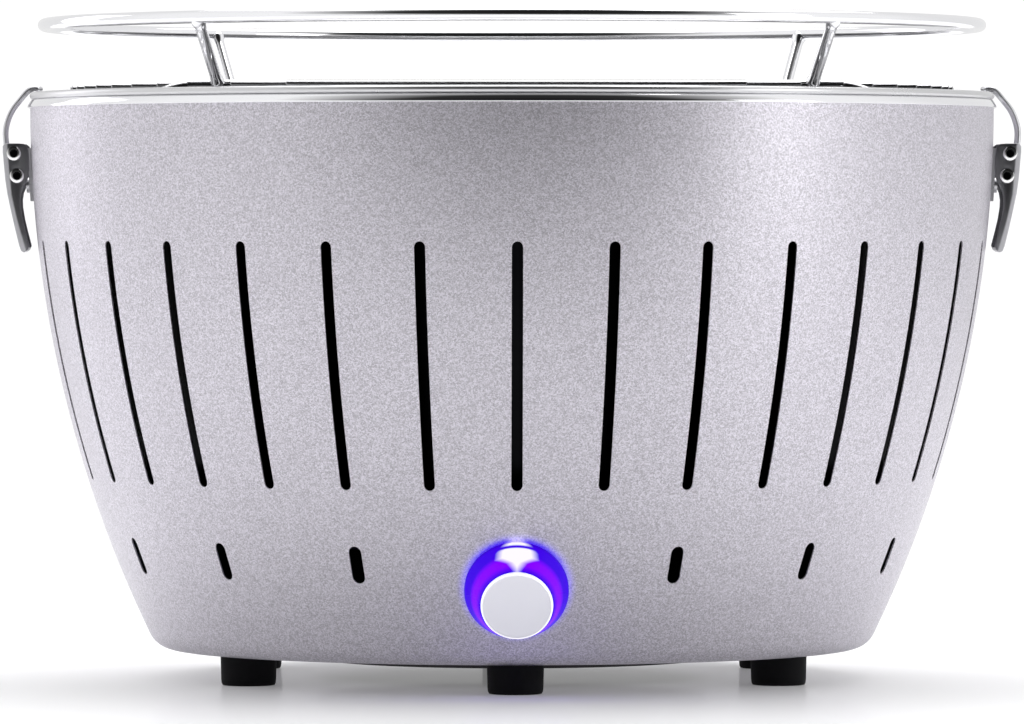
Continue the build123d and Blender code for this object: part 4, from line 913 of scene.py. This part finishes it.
def make_liner(sizes):
    """Spun liner with its web, rolled edge and neck."""
    gap = LINER_GAP
    wall = sizes.wall
    corner = 30 * MM
    bead = BEAD_R
    bead_r, bead_z = LINER_R - bead, BEAD_TOP - bead
    shelf = BEAD_TOP - 4.9 * MM
    web = RIM_R - 2.4 * MM
    neck, neck_top = 42 * MM, 66 * MM
    outside = corner_arc(LINER_LOW, gap, corner, 14)
    outside += [(wall_radius(z, gap), z) for z in spread(outside[-1][1], shelf - wall, 16)[1:]]
    inside = corner_arc(LINER_LOW + wall, gap + wall, corner - wall, 14)
    inside += [(wall_radius(z, gap + wall), z) for z in spread(inside[-1][1], shelf, 16)[1:]]
    rolled = [(bead_r + bead * math.cos(a), bead_z + bead * math.sin(a))
              for a in spread(-math.pi * 0.75, math.pi * 0.8, 16)]
    outline = [(neck, LINER_LOW)] + outside
    outline += [(web, shelf - wall), (web, bead_z - 0.9 * MM)] + rolled
    outline += [(web - wall, bead_z), (web - wall, shelf)]
    outline += list(reversed(inside))
    outline += [(neck + wall, LINER_LOW + wall), (neck + wall, neck_top), (neck, neck_top)]
    liner = lathe("spun_liner", outline)
    smooth_shade(liner, 40)
    place(liner, grill_material("liner_steel_painted_shade"), "grill", "stainless", "inner_bowl")
    dress(grill_material("spun_stainless_sheet"), "fire_plate", "charcoal_basket", "basket_handle")


# ---------------------------------------------------------------- grate and guard ring

def wire_tree():
    """Geometry Nodes tree: parallel wires that fill a circle, cut to its chords."""
    tree = bpy.data.node_groups.new("Grate Wires", "GeometryNodeTree")
    inputs = [("Wire Radius", "NodeSocketFloat", 1.5 * MM), ("Circle Radius", "NodeSocketFloat", 0.16),
              ("Pitch", "NodeSocketFloat", 13.2 * MM), ("Count", "NodeSocketInt", 22),
              ("Height", "NodeSocketFloat", 0.2125), ("Left Out At", "NodeSocketFloat", 0.1122),
              ("Material", "NodeSocketMaterial", None)]
    for label, kind, value in inputs:
        socket = tree.interface.new_socket(name=label, in_out="INPUT", socket_type=kind)
        if value is not None:
            socket.default_value = value
    tree.interface.new_socket(name="Geometry", in_out="OUTPUT", socket_type="NodeSocketGeometry")
    start, end = tree.nodes.new("NodeGroupInput"), tree.nodes.new("NodeGroupOutput")
    links = tree.links

    def arithmetic(operation, first, second=None):
        node = tree.nodes.new("ShaderNodeMath")
        node.operation = operation
        for index, value in enumerate((first, second)):
            if value is None:
                continue
            if isinstance(value, (int, float)):
                node.inputs[index].default_value = value
            else:
                links.new(value, node.inputs[index])
        return node.outputs[0]

    pitch, count = start.outputs["Pitch"], start.outputs["Count"]
    first_y = arithmetic("MULTIPLY", arithmetic("SUBTRACT", count, 1.0), arithmetic("MULTIPLY", pitch, -0.5))
    origin = tree.nodes.new("ShaderNodeCombineXYZ")
    links.new(first_y, origin.inputs["Y"])
    links.new(start.outputs["Height"], origin.inputs["Z"])
    stride = tree.nodes.new("ShaderNodeCombineXYZ")
    links.new(pitch, stride.inputs["Y"])
    line = tree.nodes.new("GeometryNodeMeshLine")
    links.new(count, line.inputs["Count"])
    links.new(origin.outputs[0], line.inputs["Start Location"])
    links.new(stride.outputs[0], line.inputs["Offset"])
    place_of = tree.nodes.new("GeometryNodeInputPosition")
    apart = tree.nodes.new("ShaderNodeSeparateXYZ")
    links.new(place_of.outputs[0], apart.inputs[0])
    across = arithmetic("ABSOLUTE", apart.outputs["Y"])
    off_rod = arithmetic("ABSOLUTE", arithmetic("SUBTRACT", across, start.outputs["Left Out At"]))
    is_rod = arithmetic("LESS_THAN", off_rod, arithmetic("MULTIPLY", pitch, 0.25))
    drop = tree.nodes.new("GeometryNodeDeleteGeometry")
    links.new(line.outputs["Mesh"], drop.inputs["Geometry"])
    links.new(is_rod, drop.inputs["Selection"])
    circle = start.outputs["Circle Radius"]
    chord = arithmetic("SQRT", arithmetic(
        "SUBTRACT", arithmetic("MULTIPLY", circle, circle), arithmetic("MULTIPLY", across, across)))
    wire = tree.nodes.new("GeometryNodeMeshCylinder")
    wire.inputs["Vertices"].default_value = 18
    wire.inputs["Depth"].default_value = 2.0
    links.new(start.outputs["Wire Radius"], wire.inputs["Radius"])
    size = tree.nodes.new("ShaderNodeCombineXYZ")
    size.inputs["X"].default_value = 1.0
    size.inputs["Y"].default_value = 1.0
    links.new(chord, size.inputs["Z"])
    instance = tree.nodes.new("GeometryNodeInstanceOnPoints")
    links.new(drop.outputs["Geometry"], instance.inputs["Points"])
    links.new(wire.outputs["Mesh"], instance.inputs["Instance"])
    instance.inputs["Rotation"].default_value = (0.0, math.pi / 2, 0.0)
    links.new(size.outputs[0], instance.inputs["Scale"])
    real = tree.nodes.new("GeometryNodeRealizeInstances")
    links.new(instance.outputs["Instances"], real.inputs["Geometry"])
    coat = tree.nodes.new("GeometryNodeSetMaterial")
    links.new(real.outputs["Geometry"], coat.inputs["Geometry"])
    links.new(start.outputs["Material"], coat.inputs["Material"])
    links.new(coat.outputs["Geometry"], end.inputs["Geometry"])
    return tree


def set_input(modifier, name, value):
    """Sets a Geometry Nodes input by its socket's identifier."""
    for socket in modifier.node_group.interface.items_tree:
        if socket.name == name and socket.in_out == "INPUT":
            modifier[socket.identifier] = value


def make_grate(sizes):
    """Wires, support rods, hoop and drip dish."""
    steel = grill_material("drawn_stainless_wire")
    wire_r = (WIRE_TOP - WIRE_LOW) / 2
    rod_r = (ROD_HIGH.y - ROD_LOW.y) / 2
    wires = new_object("grate_wire_set", [], [])
    nodes = wires.modifiers.new("Wires", "NODES")
    nodes.node_group = wire_tree()
    set_input(nodes, "Wire Radius", wire_r)
    set_input(nodes, "Circle Radius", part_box("grate_wires")[1].x)
    set_input(nodes, "Pitch", sizes.wire_pitch)
    set_input(nodes, "Count", round(2 * (WIRE_REACH - wire_r) / sizes.wire_pitch) + 1)
    set_input(nodes, "Height", WIRE_Z)
    set_input(nodes, "Left Out At", ROD_Y)
    set_input(nodes, "Material", steel)
    apply_modifiers(wires)
    soften(wires, 0.5 * MM, 2)
    smooth_shade(wires, 40)
    place(wires, steel, "grate", "stainless", "grate_wires")

    for name, side in (("front", -1), ("back", 1)):
        reach, low = ROD_HIGH.x, ROD_LOW.z + rod_r
        points = [(-reach, low), (-reach + 5 * MM, low + 1.9 * MM), (-reach + 11 * MM, WIRE_Z - 0.25 * MM),
                  (-reach + 16 * MM, WIRE_Z), (-60 * MM, WIRE_Z), (0, WIRE_Z)]
        points += [(-x, z) for x, z in reversed(points[:-1])]
        path = smooth_path([(x, side * ROD_Y, z) for x, z in points], 5)
        rod = tube(f"grate_rod_{name}", path, [rod_r] * len(path), 22)
        soften(rod, 0.4 * MM)
        smooth_shade(rod, 40)
        place(rod, steel, "grate", "stainless", f"support_rod_{name}")

    wire_ring = (RING_TOP - RING_LOW) / 2
    ring = lathe("grate_hoop", circle_outline(RING_R - wire_ring, RING_LOW + wire_ring, wire_ring))
    smooth_shade(ring)
    place(ring, steel, "grate", "stainless", "grate_ring")

    low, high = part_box("drip_plate")
    lip = 0.5 * MM
    plate = lathe("drip_dish", [
        (4 * MM, low.z), (high.x - lip, low.z), (high.x, low.z + lip / 2), (high.x, high.z - lip / 2),
        (high.x - lip, high.z), (4 * MM, high.z)], 120)
    smooth_shade(plate, 40)
    place(plate, grill_material("spun_stainless_sheet"), "grate", "stainless", "drip_plate")


def make_guard(sizes):
    """Guard ring and its four posts, with a swell at each weld."""
    chrome = grill_material("polished_chrome")
    wire = (GUARD_TOP - GUARD_LOW) / 2
    centre_r, centre_z = GUARD_R - wire, GUARD_LOW + wire
    ring = lathe("guard_hoop", circle_outline(centre_r, centre_z, wire, 28), 320)
    smooth_shade(ring)
    place(ring, chrome, "grate", "chrome", "guard_ring")

    post_r = 2.0 * MM
    lean = math.atan2(ROD_Y, POST_FOOT_X) + math.radians(2)
    corners = ((1, -1), (1, 1), (-1, 1), (-1, -1))
    for number, (side_x, side_y) in enumerate(corners, 1):
        low = Vector((side_x * POST_FOOT_X, side_y * ROD_Y, WIRE_Z))
        high = Vector((side_x * centre_r * math.cos(lean), side_y * centre_r * math.sin(lean), centre_z))
        length = (high - low).length
        swell = sizes.weld
        stations, radii = [], []
        for t in spread(0, 1, 26):
            along = t * length
            foot = math.exp(-((along - 1.4 * MM) / (1.6 * MM)) ** 2)
            head = math.exp(-((length - along - 1.9 * MM) / (1.5 * MM)) ** 2)
            stations.append(low.lerp(high, t))
            radii.append(post_r + swell * (foot + head))
        post = tube(f"guard_leg_{number}", stations, radii, 24)
        smooth_shade(post, 60)
        place(post, chrome, "grate", "chrome", f"guard_post_{number}")


# ---------------------------------------------------------------- latches

def lever_outline():
    """Side view of a latch lever, relative to the pivot pin: (outwards, up) in millimetres."""
    return [
        (4.1, 2.6), (3.6, 3.3), (2.6, 3.6), (-1.5, 3.6), (-3.6, 3.4), (-4.7, 2.6), (-5.1, 1.2),
        (-5.3, -1.5), (-5.4, -5.5), (-5.3, -8.2), (-4.7, -10.2), (-3.6, -12.2), (-2.7, -14.3),
        (-2.3, -16.8), (-2.4, -19.5), (-3.1, -23.8), (-4.2, -28.4), (-5.5, -33.4), (-4.9, -34.9),
        (-3.6, -35.9), (-2.6, -35.4), (-1.9, -33.6), (-0.7, -28.8), (0.5, -23.6), (1.6, -18.6),
        (2.5, -14.4), (3.2, -9.4), (3.8, -3.0), (4.1, 0.6),
    ]


def make_latch(side, azimuth):
    """Lever, bail wire and pins of one latch."""
    steel = grill_material("latch_steel")
    half = LEVER_HALF_WIDTH
    sheet = 1.1 * MM
    pin_r, pin_z = PIN_PLACE
    outline = [(pin_r + out * MM, pin_z + up * MM) for out, up in lever_outline()]
    lever = prism(f"draw_lever_{side}", outline, -half, half, azimuth)
    # Hollow of the channel, open towards the bowl
    hollow = [(pin_r + 2.9 * MM, pin_z + 5 * MM), (pin_r - 12 * MM, pin_z + 5 * MM),
              (pin_r - 12 * MM, pin_z - 34 * MM), (pin_r - 3.2 * MM, pin_z - 34 * MM),
              (pin_r - 1.8 * MM, pin_z - 28.8 * MM), (pin_r - 0.6 * MM, pin_z - 23.6 * MM),
              (pin_r + 0.5 * MM, pin_z - 18.6 * MM), (pin_r + 1.4 * MM, pin_z - 14.4 * MM),
              (pin_r + 2.1 * MM, pin_z - 9.4 * MM), (pin_r + 2.7 * MM, pin_z - 3.0 * MM)]
    carve(lever, prism("hollow", hollow, -half + sheet, half - sheet, azimuth))
    slot = [(pin_r - 12 * MM, pin_z - 18.2 * MM), (pin_r + 8 * MM, pin_z - 18.2 * MM),
            (pin_r + 8 * MM, pin_z + 6 * MM), (pin_r - 12 * MM, pin_z + 6 * MM)]
    carve(lever, prism("slot", slot, -6 * MM, 6 * MM, azimuth))
    for spot_r, spot_z, hole in ((*PIN_PLACE, 1.65 * MM), (*BAIL_PLACE, 1.55 * MM)):
        carve(lever, prism("hole", circle_outline(spot_r, spot_z, hole, 24), -2 * half, 2 * half, azimuth))
    tidy_normals(lever, 2e-6)
    soften(lever, 0.5 * MM, 3, 40)
    smooth_shade(lever, 40)
    place(lever, steel, f"lever_{side}", "zinc_steel", f"latch_lever_{side}")

    # Bail wire, from its pin up past the pivot pin and over the rolled edge
    bead_r = LINER_R - BEAD_R
    hook = BEAD_TOP + 1.4 * MM
    leg = [
        (BAIL_PLACE[0] + 0.9 * MM, BAIL_PLACE[1] + 1.1 * MM), (pin_r + 2.1 * MM, pin_z - 3.2 * MM),
        (pin_r + 3.1 * MM, pin_z + 2.3 * MM), (pin_r + 3.5 * MM, BEAD_TOP - 14.2 * MM),
        (pin_r + 2.6 * MM, BEAD_TOP - 9.9 * MM), (pin_r + 0.9 * MM, BEAD_TOP - 6.2 * MM),
        (bead_r + 5.05 * MM, BEAD_TOP - 2.8 * MM), (bead_r + 2.35 * MM, BEAD_TOP + 0.3 * MM),
        (bead_r + 0.25 * MM, hook), (bead_r - 1.3 * MM, hook),
    ]
    width = 4.0 * MM
    turn = Matrix.Rotation(math.radians(azimuth), 3, "Z")
    near = smooth_path([turn @ Vector((r, -width, z)) for r, z in leg], 6)
    far = smooth_path([turn @ Vector((r, width, z)) for r, z in leg], 6)
    tip_r = leg[-1][0]
    cross = [turn @ Vector((tip_r - 1.1 * MM * math.sin(a), -width * math.cos(a), hook))
             for a in spread(0, math.pi, 12)[1:-1]]
    path = near + cross + list(reversed(far))
    bail = tube(f"bail_wire_{side}", path, [0.9 * MM] * len(path), 14)
    smooth_shade(bail, 50)
    place(bail, grill_material("zinc_plate"), f"bail_{side}", "zinc_steel", f"latch_bail_{side}")

    # Turned pins with a dimple in each end
    reach, tall, head = half + 0.2 * MM, 1.0 * MM, PIN_HEAD_R
    for name, (spot_r, spot_z), shank, body, nodes in (
            ("bail_pin", BAIL_PLACE, 1.5 * MM, f"bail_{side}", [f"bail_pin_{side}"]),
            ("pivot_pin", PIN_PLACE, 1.6 * MM, "grill", [])):
        profile = [(-reach + tall, 0.0), (-reach + tall, head * 0.46), (-reach - tall * 0.8, head * 0.50),
                   (-reach - tall, head * 0.55), (-reach - tall, head * 0.78),
                   (-reach - tall * 0.8, head * 0.95), (-reach - tall * 0.3, head), (-reach, head),
                   (-reach, shank)]
        profile += [(-y, r) for y, r in reversed(profile)]
        verts = [turn @ Vector((spot_r + r * math.cos(a), y, spot_z + r * math.sin(a)))
                 for y, r in profile for a in spread(0, 2 * math.pi, PIN_SIDES)[:-1]]
        pin = new_object(f"{name}_{side}_turned", verts, band_faces(len(profile), PIN_SIDES))
        tidy_normals(pin)
        smooth_shade(pin, 30)
        place(pin, grill_material("pin_steel"), body, "zinc_steel", *nodes)
    dress(grill_material("zinc_plate"), f"latch_bracket_{side}")


def make_latches():
    for side, azimuth in LATCH_AZIMUTHS.items():
        make_latch(side, azimuth)
    for pin in [o for o in bpy.data.objects if o.name.startswith("pivot_pin_")]:
        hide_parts("latch_pivot_pins")
    dress(grill_material("zinc_plate"), "bracket_rivets")


# ---------------------------------------------------------------- knob

def knob_centre():
    """Point where the knob's axis meets the bowl's outer face."""
    low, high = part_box("knob_body")
    return Vector(((low.x + high.x) / 2, -wall_radius(KNOB_Z), KNOB_Z))


def knob_axis():
    """Direction the knob points in."""
    slope = math.asin((BOWL_TOP - knob_centre().z) / WALL_ARC_R)
    return Vector((0, -math.cos(slope), -math.sin(slope)))


def knob_up():
    """Direction on the knob's face that runs up the bowl."""
    axis = knob_axis()
    return Vector((0, axis.z, -axis.y))


def on_knob(radius, angle, out):
    """Point round the knob's axis, this far out from the bowl."""
    across = Vector((1, 0, 0)) * math.cos(angle) + knob_up() * math.sin(angle)
    return knob_centre() + knob_axis() * out + across * radius


def turned_on_knob(name, profile, sides=96):
    """Profile of (radius, distance out) turned round the knob's axis; ends on the axis are closed."""
    verts = [on_knob(radius, a, out) for radius, out in profile
             for a in spread(0, 2 * math.pi, sides)[:-1]]
    piece = new_object(name, verts, band_faces(len(profile), sides))
    tidy_normals(piece)
    return piece


def make_knob():
    """Lit cone and its cap."""
    base, tip, tall, gap = 18.1 * MM, 12.8 * MM, KNOB_HEIGHT, KNOB_GAP
    cone = turned_on_knob("knob_lens", [
        (3.0 * MM, 4.5 * MM), (5.5 * MM, 4.5 * MM), (6.5 * MM, tall - 3 * MM), (tip - 3 * MM, tall - 3 * MM),
        (base - 3 * MM, gap), (base - 0.6 * MM, gap), (base, gap + 0.5 * MM), (base, gap + 1.4 * MM),
        (base - 0.5 * MM, gap + 2.2 * MM), (tip + 1.6 * MM, tall - 3.5 * MM),
        (tip + 0.5 * MM, tall - 0.9 * MM), (tip, tall), (3.0 * MM, tall), (3.0 * MM, 4.5 * MM)])
    smooth_shade(cone, 40)
    place(cone, grill_material("lit_violet_lens"), "knob", "violet_lens", "knob_body")
    cap_r, cap = 12.4 * MM, 1.6 * MM
    disc = turned_on_knob("knob_disc", [
        (0.0, tall), (cap_r, tall), (cap_r + 0.1 * MM, tall + 0.5 * MM), (cap_r, tall + cap - 0.35 * MM),
        (cap_r - 0.35 * MM, tall + cap - 0.05 * MM), (cap_r - 0.7 * MM, tall + cap),
        (cap_r - 1.0 * MM, tall + cap - 0.2 * MM), (cap_r - 1.3 * MM, tall + cap - 0.25 * MM),
        (0.0, tall + cap - 0.25 * MM)])
    smooth_shade(disc, 30)
    place(disc, grill_material("satin_silver_cap"), "knob", "silver_plastic", "knob_cap")
    dress(grill_material("zinc_plate"), "knob_shaft", "switch_nut")
    dress(grill_material("moulded_black"), "switch_body")
    dress(grill_material("lit_violet_lens"), "lamp_ring")


# ---------------------------------------------------------------- feet and insides

def make_feet():
    """Six rubber feet."""
    rubber = grill_material("moulded_rubber")
    for number in range(1, 7):
        low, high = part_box(f"foot_{number}")
        centre = (low + high) / 2
        top_r = (high.x - low.x) / 2
        foot_r = top_r - 0.4 * MM
        profile = [
            (4.1 * MM, 0.0), (foot_r - 1.1 * MM, 0.0), (foot_r - 0.4 * MM, 0.15 * MM),
            (foot_r - 0.05 * MM, 0.9 * MM), (foot_r + 0.1 * MM, 2.2 * MM),
            (top_r - 0.1 * MM, high.z - 0.8 * MM), (top_r, high.z - 0.4 * MM),
            (top_r - 0.3 * MM, high.z), (2.1 * MM, high.z),
            (2.1 * MM, high.z / 2), (4.1 * MM, high.z / 2)]
        foot = lathe(f"rubber_foot_{number}", profile, 64)
        foot.data.transform(Matrix.Translation((centre.x, centre.y, 0)))
        smooth_shade(foot, 50)
        place(foot, rubber, "grill", "black_rubber", f"foot_{number}")


def dress_insides():
    """Finishes for the pieces that keep their CAD shape."""
    dress(grill_material("moulded_black"), "base_housing", "housing_deck", "battery_tray",
          "battery_cover", "fan_housing")
    dress(grill_material("zinc_plate"), "foot_screws", "foot_nuts", "housing_screws",
          "battery_contacts", "board_spacers", "fan_motor", "motor_shaft")
    dress(grill_material("moulded_grey"), "impeller", "board_components")
    dress(grill_material("moulded_rubber"), "cover_seal")
    dress(grill_material("board_lacquer"), "circuit_board")
    dress(grill_material("lead_insulation"), "switch_lead", "motor_lead")
    dress(grill_material("cell_film"), *[f"battery_cell_{n}" for n in range(1, 5)])


# ---------------------------------------------------------------- stage

def studio_world():
    """White studio with a dim side in front of the grill, so that its metal shades across."""
    world = bpy.data.worlds.new("studio")
    bpy.context.scene.world = world
    world.use_nodes = True
    tree = world.node_tree
    tree.nodes.clear()
    coordinates = tree.nodes.new("ShaderNodeTexCoord")
    levels = []
    for aim, stops in (
            ((0.10, -0.82, 0.56), [(0.0, 1.0), (0.76, 1.0), (0.85, 0.42), (0.92, 0.03), (1.0, 0.01)]),
            ((0.0, 1.0, 0.0), [(0.0, 1.05), (0.60, 1.0), (0.80, 0.88), (1.0, 0.85)])):
        toward = tree.nodes.new("ShaderNodeVectorMath")
        toward.operation = "DOT_PRODUCT"
        toward.inputs[1].default_value = Vector(aim).normalized()
        tree.links.new(coordinates.outputs["Generated"], toward.inputs[0])
        spread_out = fade(tree, toward.outputs["Value"], -1.0, 1.0)
        levels.append(colour_ramp(tree, spread_out, [(at, (level,) * 3) for at, level in stops]))
    product = tree.nodes.new("ShaderNodeVectorMath")
    product.operation = "MULTIPLY"
    for index, level in enumerate(levels):
        tree.links.new(level, product.inputs[index])
    dim = tree.nodes.new("ShaderNodeBackground")
    tree.links.new(product.outputs[0], dim.inputs["Color"])
    white = tree.nodes.new("ShaderNodeBackground")
    white.inputs["Color"].default_value = (1.0, 1.0, 1.0, 1.0)
    white.inputs["Strength"].default_value = STUDIO_WHITE
    path = tree.nodes.new("ShaderNodeLightPath")
    choose = tree.nodes.new("ShaderNodeMixShader")
    tree.links.new(path.outputs["Is Camera Ray"], choose.inputs["Fac"])
    tree.links.new(dim.outputs[0], choose.inputs[1])
    tree.links.new(white.outputs[0], choose.inputs[2])
    out = tree.nodes.new("ShaderNodeOutputWorld")
    tree.links.new(choose.outputs[0], out.inputs["Surface"])


def soft_light(name, azimuth, distance, height, size, power, colour=(1.0, 1.0, 1.0)):
    """Large area light aimed at the grill."""
    light = bpy.data.lights.new(name, "AREA")
    light.shape = "RECTANGLE"
    light.size, light.size_y = size
    light.energy = power
    light.color = colour
    lamp = bpy.data.objects.new(name, light)
    a = math.radians(azimuth)
    lamp.location = (distance * math.sin(a), -distance * math.cos(a), height)
    aim = Vector((0, 0, 0.12)) - lamp.location
    lamp.rotation_euler = aim.to_track_quat("-Z", "Y").to_euler()
    bpy.context.scene.collection.objects.link(lamp)


def make_stage():
    scene = bpy.context.scene
    scene.view_settings.view_transform = "Standard"
    studio_world()
    soft_light("right_softbox", 62, 1.5, 0.35, (0.5, 1.3), 3.6)
    soft_light("left_softbox", -125, 1.6, 0.45, (0.6, 1.3), 2.5, (0.97, 0.95, 1.0))
    soft_light("overhead_softbox", 170, 0.5, 1.7, (1.6, 1.6), 26)
    side, rear = 1.5, 1.0
    floor = new_object("studio_floor", [(-side, -side, 0), (side, -side, 0), (side, rear, 0),
                                        (-side, rear, 0)], [(0, 1, 2, 3)])
    material, tree, shader = start_material(
        "white_floor", (0.90, 0.90, 0.91), Roughness=0.35, Coat_Weight=0.15, Coat_Roughness=0.06)
    shader.inputs["Specular IOR Level"].default_value = 0.03
    shader.inputs["Emission Color"].default_value = (1.0, 1.0, 1.0, 1.0)
    shader.inputs["Emission Strength"].default_value = 0.16
    # Seen by the camera, the floor turns as white as the studio round it towards its edge
    x, y, _ = object_xyz(tree)
    path = tree.nodes.new("ShaderNodeLightPath")
    edge = math_node(tree, "MULTIPLY", fade(tree, length_of(tree, x, y), *FLOOR_FADE),
                     path.outputs["Is Camera Ray"])
    white = tree.nodes.new("ShaderNodeEmission")
    white.inputs["Strength"].default_value = STUDIO_WHITE
    choose = tree.nodes.new("ShaderNodeMixShader")
    tree.links.new(edge, choose.inputs["Fac"])
    tree.links.new(shader.outputs["BSDF"], choose.inputs[1])
    tree.links.new(white.outputs["Emission"], choose.inputs[2])
    tree.links.new(choose.outputs["Shader"], tree.nodes["Material Output"].inputs["Surface"])
    floor.data.materials.append(material)

    camera = bpy.data.cameras.new("camera")
    camera.lens = 285.05
    camera.sensor_width = 36.0
    camera.clip_start, camera.clip_end = 0.1, 30.0
    viewer = bpy.data.objects.new("camera", camera)
    turn = math.radians(CAMERA_AZIMUTH)
    viewer.location = (CAMERA_DISTANCE * math.sin(turn), -CAMERA_DISTANCE * math.cos(turn), CAMERA_Z)
    aim = Vector((0.0, 0.0, CAMERA_AIM_Z)) - viewer.location
    viewer.rotation_euler = aim.to_track_quat("-Z", "Y").to_euler()
    scene.collection.objects.link(viewer)
    scene.camera = viewer


# ---------------------------------------------------------------- operators and panel

class GRILL_OT_bowl(bpy.types.Operator):
    """Make the slotted outer bowl"""
    bl_idname = "grill.bowl"
    bl_label = "Outer Bowl"

    def execute(self, context):
        make_outer_bowl(context.scene.grill_sizes)
        return {"FINISHED"}


class GRILL_OT_rim(bpy.types.Operator):
    """Make the flared rim trim"""
    bl_idname = "grill.rim"
    bl_label = "Rim Trim"

    def execute(self, context):
        make_rim()
        return {"FINISHED"}


class GRILL_OT_liner(bpy.types.Operator):
    """Make the spun liner with its rolled edge"""
    bl_idname = "grill.liner"
    bl_label = "Liner"

    def execute(self, context):
        make_liner(context.scene.grill_sizes)
        return {"FINISHED"}


class GRILL_OT_grate(bpy.types.Operator):
    """Make the wire grate"""
    bl_idname = "grill.grate"
    bl_label = "Grate"

    def execute(self, context):
        make_grate(context.scene.grill_sizes)
        return {"FINISHED"}


class GRILL_OT_guard(bpy.types.Operator):
    """Make the guard ring and its posts"""
    bl_idname = "grill.guard"
    bl_label = "Guard Ring"

    def execute(self, context):
        make_guard(context.scene.grill_sizes)
        return {"FINISHED"}


class GRILL_OT_latches(bpy.types.Operator):
    """Make both draw latches"""
    bl_idname = "grill.latches"
    bl_label = "Latches"

    def execute(self, context):
        make_latches()
        return {"FINISHED"}


class GRILL_OT_knob(bpy.types.Operator):
    """Make the lit knob"""
    bl_idname = "grill.knob"
    bl_label = "Knob"

    def execute(self, context):
        make_knob()
        return {"FINISHED"}


class GRILL_OT_feet(bpy.types.Operator):
    """Make the rubber feet"""
    bl_idname = "grill.feet"
    bl_label = "Feet"

    def execute(self, context):
        make_feet()
        return {"FINISHED"}


class GRILL_OT_insides(bpy.types.Operator):
    """Finish the fan, battery bay and fasteners"""
    bl_idname = "grill.insides"
    bl_label = "Insides"

    def execute(self, context):
        dress_insides()
        return {"FINISHED"}


class GRILL_OT_stage(bpy.types.Operator):
    """Make the floor, lights and camera"""
    bl_idname = "grill.stage"
    bl_label = "Stage"

    def execute(self, context):
        make_stage()
        return {"FINISHED"}


OPERATORS = (
    GRILL_OT_stage, GRILL_OT_bowl, GRILL_OT_rim, GRILL_OT_liner, GRILL_OT_grate, GRILL_OT_guard,
    GRILL_OT_latches, GRILL_OT_knob, GRILL_OT_feet, GRILL_OT_insides,
)


class GRILL_PT_builder(bpy.types.Panel):
    """Sizes, finishes and one button for each group of pieces"""
    bl_label = "Tabletop Grill"
    bl_space_type = "VIEW_3D"
    bl_region_type = "UI"
    bl_category = "Grill"

    def draw(self, context):
        layout = self.layout
        for settings in (context.scene.grill_sizes, context.scene.grill_finish):
            box = layout.box()
            for name in settings.__annotations__:
                box.prop(settings, name)
        for operator in OPERATORS:
            layout.operator(operator.bl_idname)


CLASSES = (GrillSizes, GrillFinish, *OPERATORS, GRILL_PT_builder)


def register():
    for cls in CLASSES:
        bpy.utils.register_class(cls)
    bpy.types.Scene.grill_sizes = bpy.props.PointerProperty(type=GrillSizes)
    bpy.types.Scene.grill_finish = bpy.props.PointerProperty(type=GrillFinish)


def unregister():
    del bpy.types.Scene.grill_finish
    del bpy.types.Scene.grill_sizes
    for cls in reversed(CLASSES):
        bpy.utils.unregister_class(cls)


def main():
    register()
    bpy.ops.grill.stage()
    bpy.ops.grill.bowl()
    bpy.ops.grill.rim()
    bpy.ops.grill.liner()
    bpy.ops.grill.grate()
    bpy.ops.grill.guard()
    bpy.ops.grill.latches()
    bpy.ops.grill.knob()
    bpy.ops.grill.feet()
    bpy.ops.grill.insides()


if __name__ == "__main__":
    main()
